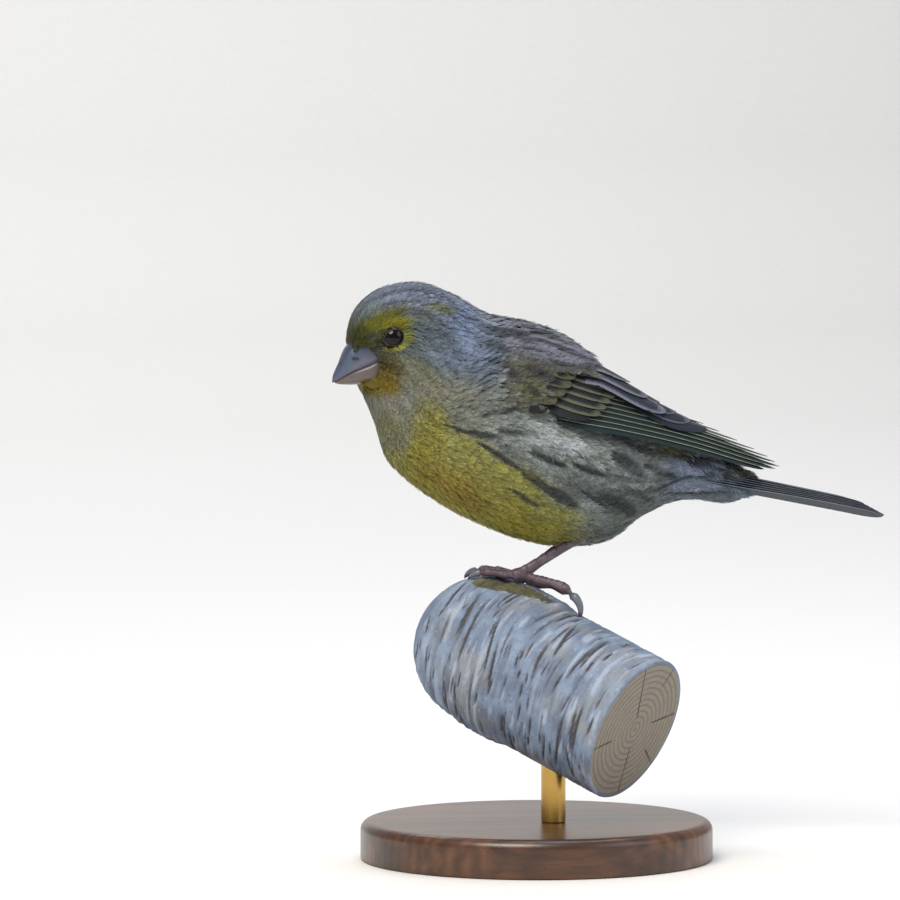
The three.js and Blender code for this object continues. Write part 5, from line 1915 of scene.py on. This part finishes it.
@dataclass
class Perch:
    """The domed end of a cut branch in wrinkled bark, with a bare strip worn along its top."""

    around: int = 220
    scar_at: tuple = (-3.2, -7.4, -0.6)
    scar_along: tuple = (19, -10, -5)
    scar_size: tuple = (12.0, 1.0, 3.3)
    depth: float = 0.6
    cracks: tuple = ((0.4, 1.0), (2.1, 4.0), (-2.6, 2.5), (-1.1, 6.0), (1.2, 8.0), (2.9, 7.0))

    def build(self) -> Piece:
        """Builds the perch."""
        turns = np.linspace(0, math.pi / 2, 56)
        profile = [(PERCH_RADIUS * math.sin(a), -PERCH_RADIUS * math.cos(a)) for a in turns]
        profile += [(float(perch_girth(t)), float(t)) for t in np.linspace(0, PERCH_LENGTH - 0.3, 130)[1:]]
        end = float(perch_girth(PERCH_LENGTH))
        profile += [(end - 0.12, PERCH_LENGTH - 0.08), (end - 0.4, PERCH_LENGTH)]
        profile += [(r, PERCH_LENGTH) for r in np.linspace(end - 1.2, 0, 14)]
        bm = lathe(profile, self.around)
        raw = places(bm)
        angle, t = np.arctan2(raw[:, 1], raw[:, 0]), raw[:, 2]
        wave = t + 0.9 * np.sin(angle + 0.4) + 0.35 * np.sin(3 * angle + 1.7)
        wave = wave + 0.2 * np.sin(5 * angle + t * 0.2)
        shown = smooth(t, -14.8, -11) * (1 - smooth(t, PERCH_LENGTH - 2, PERCH_LENGTH - 0.5))
        # The wrinkles' depth sinks the bark and also sets their dark colour and painted shade.
        groove_and_shade = self.wrinkles(angle, wave) * shown
        fine = 0.06 * np.sin(2 * math.pi * wave / 0.85 + 2 * np.sin(angle * 5)) * shown
        radius = np.hypot(raw[:, 0], raw[:, 1])
        shell = radius > end - 0.8
        change = 1 - np.where(shell | (t < 0), (self.depth * groove_and_shade + fine) / PERCH_RADIUS, 0)
        local = np.stack([raw[:, 0] * change, t, raw[:, 1] * change], axis=1)
        turn = np.array(Vector((0, 1, 0)).rotation_difference(Vector(PERCH_AXIS)).to_matrix())
        p = local @ turn.T + PERCH_END
        p, worn, rim = self.wear(p)
        put(bm, p)
        mesh = finish_bmesh(bm, "perch")
        on_cut = (t > PERCH_LENGTH - 0.02) & (radius < end - 0.8)
        # The cut end's cracks have no relief: their dark lines are partly colour and partly painted shade.
        cracks = sum(
            (1 - smooth(np.abs(turned(angle - way)) * radius, 0.05, 0.4)) * smooth(radius, near, near + 3)
            for way, near in self.cracks
        )
        grain = MARKINGS.grain(wave / 0.7, PERCH_RADIUS * angle / 5.0)
        for name, values in (
            ("groove_and_shade", np.where(on_cut, 0.9 * cracks, groove_and_shade)),
            ("grain", mix(0.5, grain, smooth(t, -14.6, -9))),
            ("worn", worn),
            ("rim", rim),
            ("cut", on_cut.astype(float)),
            ("year", radius / 1.3 + 0.12 * np.sin(angle * 2 + 1) * radius / 8),
        ):
            give(mesh, name, values)
        mesh.uv_layers.new(name="OFBake").data.foreach_set("uv", self.unwrap(mesh, angle, t, radius, end))
        return new_object("perch_branch", mesh, Bark().build(), "bark", "perch")

    def wrinkles(self, angle: Array, wave: Array) -> Array:
        """Broken wrinkles round the branch, each an arc that is widest in its middle. Their depth also sets the
        dark laid in them, partly their own colour and partly painted shade.

        Args:
            angle: the turn of each place.
            wave: its millimetres along the bark, warped so that the wrinkles bow together.

        Returns:
            The depth of the wrinkles as a share.
        """
        rng = np.random.default_rng(3)
        deep = np.zeros(angle.shape)
        at = -PERCH_RADIUS
        while at < PERCH_LENGTH:
            at += rng.uniform(0.45, 1.2)
            for _ in range(rng.integers(7, 14)):
                middle = rng.uniform(-math.pi, math.pi)
                reach = rng.uniform(0.07, 0.22) + 0.4 * rng.random() ** 4
                wide, full = rng.uniform(0.14, 0.3) + 0.5 * reach, rng.uniform(0.25, 1)
                aside = turned(angle - middle)
                taper = np.sqrt(np.clip(1 - (aside / reach) ** 2, 0, 1))
                gap = np.abs(wave - at - rng.normal(0, 1.2) * aside)
                gap = gap / np.maximum(wide * (0.4 + 0.6 * taper), 0.05)
                deep = np.maximum(deep, full * taper * (1 - smooth(gap, 0.3, 1.5)))
        return deep

    def wear(self, p: Array) -> tuple[Array, Array, Array]:
        """Sinks the bare strip along the top.

        Args:
            p: the perch's places.

        Returns:
            The new places, how bare each is, and how near to the strip's rim, where a highlight is painted.
        """
        along = unit(np.array(self.scar_along, float))
        at = np.array(self.scar_at)
        out = unit(at - PERCH_END - PERCH_AXIS * np.dot(at - PERCH_END, PERCH_AXIS))
        side = unit(np.cross(out, along))
        out = np.cross(along, side)
        q = np.stack([(p - at) @ along, (p - at) @ out, (p - at) @ side], axis=1) / np.array(self.scar_size)
        run = p @ along
        flat = np.hypot(q[:, 0], q[:, 2]) + 0.05 * np.sin(1.9 * run) + 0.04 * np.sin(4.7 * run + 1)
        floor = -(np.maximum(0, 1 - flat**2) ** 0.7)
        inside = (flat < 1) & (q[:, 1] > floor) & (q[:, 1] < 6)
        p = np.where(inside[:, None], p + (floor - q[:, 1])[:, None] * self.scar_size[1] * out, p)
        near = (q[:, 1] > -2.5) & (q[:, 1] < 6)
        worn = (1 - smooth(flat, 0.62, 1.04)) * near
        # Nearness to the strip's rim, where the bark paints a highlight.
        rim = np.exp(-(((flat - 1.0) / 0.06) ** 2)) * near
        return p, worn, rim

    def unwrap(self, mesh: Mesh, angle: Array, t: Array, radius: Array, end: float) -> Array:
        """Lays the bark out as a strip and the cut end as a disc beside it.

        Args:
            mesh: the perch's mesh.
            angle: each vertex's turn.
            t: each vertex's millimetres behind the middle of the dome.
            radius: each vertex's distance from the axis.
            end: the radius at the cut.

        Returns:
            The UV map's numbers.
        """
        corners = read(mesh.loops, "vertex_index")
        starts = read(mesh.polygons, "loop_start")
        face = np.repeat(np.arange(len(starts)), read(mesh.polygons, "loop_total"))
        a = angle[corners] / (2 * math.pi)
        first = a[starts][face]
        a = a - np.round(a - first)
        on_cut = np.minimum.reduceat(t[corners], starts)[face] > PERCH_LENGTH - 0.05
        length = np.where(t < 0, PERCH_RADIUS * np.arcsin(np.clip(t / PERCH_RADIUS, -1, 1)), t)[corners] + 25
        strip = np.stack([0.05 + 0.8 * (a * 0.94 + 0.5), 0.02 + 0.6 * length / 64], axis=1)
        ring, way = radius[corners] / end, angle[corners]
        disc = np.stack([0.2 + 0.15 * ring * np.cos(way), 0.82 + 0.15 * ring * np.sin(way)], axis=1)
        return np.where(on_cut[:, None], disc, strip).ravel()


# Legs

KNUCKLES = (1.05, 0.86, 1.06, 0.84, 1.0, 0.84)


@dataclass(frozen=True)
class Toe:
    """One toe: its turn from straight ahead, sizes in millimetres and how its claw bends."""

    name: str
    turn: float
    length: float
    claw: float
    radius: float
    rise: float
    bend: float
    arch: float


TOES = (
    Toe("hallux", 180, 11.2, 6.6, 1.0, 10, 98, 1.8),
    Toe("inner", -19, 7.8, 3.6, 0.84, 12, 70, 0),
    Toe("middle", 0, 10.0, 3.9, 0.9, 12, 72, 0),
    Toe("outer", 20, 8.2, 3.6, 0.82, 12, 70, 0),
)


@dataclass
class Leg:
    """A bare tarsus and four toes, all in overlapping scutes, that grip the perch with their claws."""

    side: Side
    foot: tuple
    ankle: tuple
    foot_turn: float = -38.0
    gap: float = 0.3
    thick: float = 2.1

    def limb(self, points: Sequence[Sequence[float]], radii: Sequence[float], plates: float, flat: float = 1.0,
             around: int = 20, along: int = 90) -> tuple[BMesh, Array]:
        """Makes a round limb with scutes on its upper side.

        Args:
            points: its middle line.
            radii: its radius at even steps.
            plates: how many scutes it has.
            flat: its width over its depth.
            around: faces round it.
            along: faces along it.

        Returns:
            The bmesh, and how near each vertex is to a seam.
        """
        path, girth = Spline(points), Spline([(i, r, 0) for i, r in enumerate(radii)])
        seam: list[Array] = []

        def place(t: Array, angle: Array) -> Array:
            """Finds places on the limb, whose scutes rise like shingles, and keeps where their seams are."""
            forward = unit(path.at(np.minimum(t + 2e-3, 1)) - path.at(np.maximum(t - 2e-3, 0)))
            side = unit(np.array([0, 1.0, 0]) - forward * forward[:, 1:2])
            up = np.cross(forward, side)
            radius = girth.at(t)[:, 1] * np.minimum(1, 2.2 * np.sin(np.pi * t))
            off = side * (flat * np.cos(angle))[:, None] + up * np.sin(angle)[:, None]
            top = smooth(off[:, 2] / np.maximum(np.linalg.norm(off, axis=1), 1e-6), -0.25, 0.45)
            tooth = (t * plates) % 1.0
            at_seam = np.maximum(smooth(tooth, 0.84, 0.96), 1 - smooth(tooth, 0.0, 0.12))
            seam[:] = [at_seam * (0.35 + 0.65 * top) * (plates > 0)]
            small = 0.02 * np.sin(t * plates * 12) * np.sin(angle * 7) * (1 - top)
            radius = radius * (1 + (plates > 0) * (top * (0.1 * tooth - 0.05) + small))
            return path.at(t) + off * radius[:, None]

        bm, _, _ = ball(place, around, along)
        return bm, seam[0]

    def toe_line(self, toe: Toe) -> list[Array]:
        """A toe's middle line over the perch, its length measured along the bark."""
        turn = math.radians(toe.turn * -self.side.value + self.foot_turn)
        way = np.array([-math.cos(turn), -math.sin(turn), 0.0])
        step = toe.length / (len(KNUCKLES) - 1)
        at = np.array(self.foot, float)
        line: list[Array] = []
        for i in range(len(KNUCKLES)):
            clear = toe.radius + self.gap + mix(0.75, 0.1, float(smooth(i, 0, 2)))
            clear = clear + toe.arch * float(smooth(i, 0, 4))
            bark = perch_top(at[0], at[1])
            slope = (perch_top(at[0] + 0.2 * way[0], at[1] + 0.2 * way[1]) - bark) / 0.2
            tilt = math.hypot(1, slope)
            off = clear * slope / tilt
            line.append(np.array([at[0] - off * way[0], at[1] - off * way[1], bark + clear / tilt]))
            at = at + way * step / tilt
        return line

    def claw_line(self, toe: Toe, end: Array, way: Array) -> list[Array]:
        """A claw's middle line, bending down from a toe's end to the bark."""
        side = unit(np.cross(way, (0, 0, 1)))
        start = np.array(Matrix.Rotation(math.radians(toe.rise), 3, Vector(side)) @ Vector(way))
        down = np.array(Matrix.Rotation(-math.pi / 2, 3, Vector(side)) @ Vector(start))
        radius = toe.claw / math.radians(toe.bend)
        turns = [math.radians(toe.bend * share) for share in (0, 0.25, 0.5, 0.75, 1)]
        return [end + start * (radius * math.sin(a) - 0.7) + down * radius * (1 - math.cos(a)) for a in turns]

    def build(self) -> list[Piece]:
        """Builds the leg's pieces."""
        skin = Scutes().build()
        horn = Horn("claw_horn", "#5f6470", "#2c2b31", "#7c7f88", 0.3).build()
        foot, ankle = np.array(self.foot, float), np.array(self.ankle, float)
        centre = np.array([foot[0], foot[1], perch_top(foot[0], foot[1]) + 2.0])
        lean = unit(ankle - centre)
        low = centre + lean * 1.2
        line = [centre - lean * 0.2, low, *(mix(low, ankle, s) for s in (0.33, 0.66, 1.0))]
        girths = [k * self.thick / 2 for k in (1.2, 1.08, 0.94, 0.95, 1.3)]
        parts = [self.limb(line, girths, 10, 0.82, 28, 160)]
        made = [self.join("tarsus_skin", parts, skin, "leg", "tarsus")]
        line = [centre + (-1.7, 0, -0.4), centre, centre + (1.8, 0, -0.2)]
        parts = [self.limb(line, [1.15, 1.35, 1.15], 0, 1.0, 24, 24)]
        claws: list[tuple[BMesh, Array]] = []
        for toe in TOES:
            toe_line = self.toe_line(toe)
            way = unit(toe_line[-1] - toe_line[-2])
            girths = [k * toe.radius for k in KNUCKLES]
            parts.append(self.limb(toe_line, girths, round(toe.length / 1.15), 1.0, 22, 130))
            thin = [k * toe.radius * 0.88 for k in (0.98, 0.92, 0.78, 0.54, 0.14)]
            claws.append(self.limb(self.claw_line(toe, toe_line[-1], way), thin, 0, 0.8, 18, 40))
        made.append(self.join("foot_skin", parts, skin, "leg", "foot"))
        for toe, claw in zip(TOES, claws):
            made.append(self.join(f"claw_horn_{toe.name}", [claw], horn, "claw", f"claw_{toe.name}"))
        return made

    def join(self, name: str, parts: list[tuple[BMesh, Array]], finish: Material, slot: str, node: str) -> Piece:
        """Joins limbs into one piece.

        Args:
            name: the piece's name without its side.
            parts: the limbs and their seams.
            finish: the material.
            slot: the material slot.
            node: the solid that the piece stands for, without its side.

        Returns:
            The piece.
        """
        name = f"{name}_{self.side.label}"
        whole = bmesh.new()
        whole.loops.layers.uv.new("OFBake")
        for number, (bm, _) in enumerate(parts):
            layer = bm.loops.layers.uv.active
            for face in bm.faces:
                for loop in face.loops:
                    loop[layer].uv.x = (loop[layer].uv.x + number) / len(parts)
            part = bpy.data.meshes.new("part")
            bm.to_mesh(part)
            bm.free()
            whole.from_mesh(part)
            bpy.data.meshes.remove(part)
        mesh = finish_bmesh(whole, name)
        give(mesh, "seam", np.concatenate([seam for _, seam in parts]))
        height = np.array([v.co.z for v in mesh.vertices])
        low, high = height.min(), height.max()
        give(mesh, "dark", 0.9 * (1 - smooth(height, low, mix(low, high, 0.6))))
        give(mesh, "warm", np.full(len(mesh.vertices), 0.2))
        return new_object(name, mesh, finish, slot, f"{node}_{self.side.label}")


# Stand


@dataclass
class Stand:
    """A turned walnut disc and the brass rod, whose top is rod_behind millimetres back along the perch."""

    base_radius: float = 36.0
    base_height: float = 8.0
    base_round: float = 2.0
    rod_radius: float = 2.5
    rod_behind: float = 17.0

    def build(self) -> list[Piece]:
        """Builds both pieces."""
        r, h, edge = self.base_radius, self.base_height, self.base_round
        profile = [(0, 0), (r * 0.5, 0), (r - 1.2, 0), (r - 0.5, 0.05), (r - 0.15, 0.2)]
        profile += [(r, 0.5), (r, 3.0), (r, h - edge)]
        turns = np.linspace(0, math.pi / 2, 12)[1:]
        profile += [(r - edge + edge * math.cos(a), h - edge + edge * math.sin(a)) for a in turns]
        profile += [(x, h) for x in (r - 3.5, r * 0.7, r * 0.4, 3.0, 0)]
        base = lathe(profile, 180)
        bmesh.ops.scale(base, vec=(MM, MM, MM), verts=base.verts)
        x, y, top = PERCH_END + PERCH_AXIS * self.rod_behind
        r, bottom = self.rod_radius, h - SHIFT[2]
        profile = [(0, bottom), (r - 0.2, bottom), (r, bottom + 0.2)]
        profile += [(r, z) for z in np.linspace(bottom + 1, top - 0.3, 12)] + [(r - 0.2, top), (0, top)]
        rod = lathe(profile, 64)
        put(rod, places(rod) + (x, y, 0))
        return [
            self.turned(base, "stand_turned_base", TurnedWalnut().build(), "walnut", "stand_base"),
            self.turned(rod, "stand_brass_rod", Brass().build(), "brass", "stand_rod"),
        ]

    def turned(self, bm: BMesh, name: str, finish: Material, slot: str, node: str) -> Piece:
        """Makes a turned piece, as new_object does, with crisp edges."""
        mesh = finish_bmesh(bm, name)
        mesh.set_sharp_from_angle(angle=math.radians(38))
        return new_object(name, mesh, finish, slot, node)


# Studio


@dataclass
class Studio:
    """A pale floor that rises into a backdrop, soft lights and the camera at the photograph's angle."""

    azimuth: float = -12.0
    elevation: float = 4.0
    distance: float = 1.53
    target: tuple = (-0.0168, 0.006, 0.0835)
    lens: float = 300.0

    def floor(self) -> None:
        """Builds the floor and the backdrop as one sheet."""
        bm = bmesh.new()
        bends = [(-2.4, 0.0), (1.3, 0.0), (1.55, 0.02), (1.7, 0.09), (1.77, 0.22), (1.8, 0.45), (1.8, 0.9)]
        line = [bm.verts.new((-2.4, y, z)) for y, z in bends]
        edges = [bm.edges.new(pair) for pair in zip(line, line[1:])]
        made = bmesh.ops.extrude_edge_only(bm, edges=edges)
        moved = [v for v in made["geom"] if isinstance(v, bmesh.types.BMVert)]
        bmesh.ops.translate(bm, vec=(4.8, 0, 0), verts=moved)
        mesh = finish_bmesh(bm, "floor")
        mesh.materials.append(MattPaper().build())
        sheet = bpy.data.objects.new("floor", mesh)
        bpy.context.scene.collection.objects.link(sheet)

    def light(self, name: str, azimuth: float, elevation: float, away: float, size: float, power: float,
              shade: str, middle: tuple[float, float, float] = (0, 0, 0.08)) -> None:
        """Adds one soft light that faces a place, which is the bird unless another is given.

        Args:
            name: the light's name.
            azimuth: degrees round the bird, as for views.
            elevation: degrees above level.
            away: metres from the bird.
            size: metres across.
            power: watts.
            shade: its colour.
            middle: the place that it faces.
        """
        data = bpy.data.lights.new(name, "AREA")
        data.shape, data.size, data.energy = "DISK", size, power
        data.color = linear(shade)
        aim(bpy.data.objects.new(name, data), middle, azimuth, elevation, away)

    def build(self) -> None:
        """Builds the studio."""
        self.floor()
        self.light("key", -35, 48, 0.9, 0.55, 8.8, "#fff6ea")
        self.light("fill", 55, 25, 1.1, 0.8, 3.0, "#eaf2ff")
        self.light("top", 150, 70, 0.9, 0.6, 5.0, "#f2f6ff")
        self.light("backdrop", 0, 60, 1.2, 0.8, 9.0, "#ffffff", (0, 1.75, 0.1))
        sky = bpy.data.worlds.new("studio")
        sky.use_nodes = True
        colour, strength = sky.node_tree.nodes["Background"].inputs[:2]
        colour.default_value, strength.default_value = (0.86, 0.9, 1.0, 1.0), 0.36
        bpy.context.scene.world = sky
        bpy.context.scene.view_settings.view_transform = "Standard"
        data = bpy.data.cameras.new("camera")
        data.lens, data.sensor_width = self.lens, 36.0
        data.clip_start, data.clip_end = 0.05, 20.0
        camera = bpy.data.objects.new("camera", data)
        aim(camera, self.target, self.azimuth, self.elevation, self.distance)
        bpy.context.scene.camera = camera


def main() -> None:
    """Builds the specimen, its stand and the studio."""
    logging.basicConfig(level=logging.INFO, format="%(name)s: %(message)s")
    Skin().build()
    Coat().grow()
    for side in Side:
        Wing(side).build()
    Tail().build()
    Bill().build()
    Eyes().build()
    Leg(Side.LEFT, (-0.4, -4.8, 0.0), (15.4, -6.3, 9.6)).build()
    Leg(Side.RIGHT, (1.7, 5.0, 0.0), (17.4, 6.3, 9.8)).build()
    Perch().build()
    Stand().build()
    Studio().build()


if __name__ == "__main__":
    main()
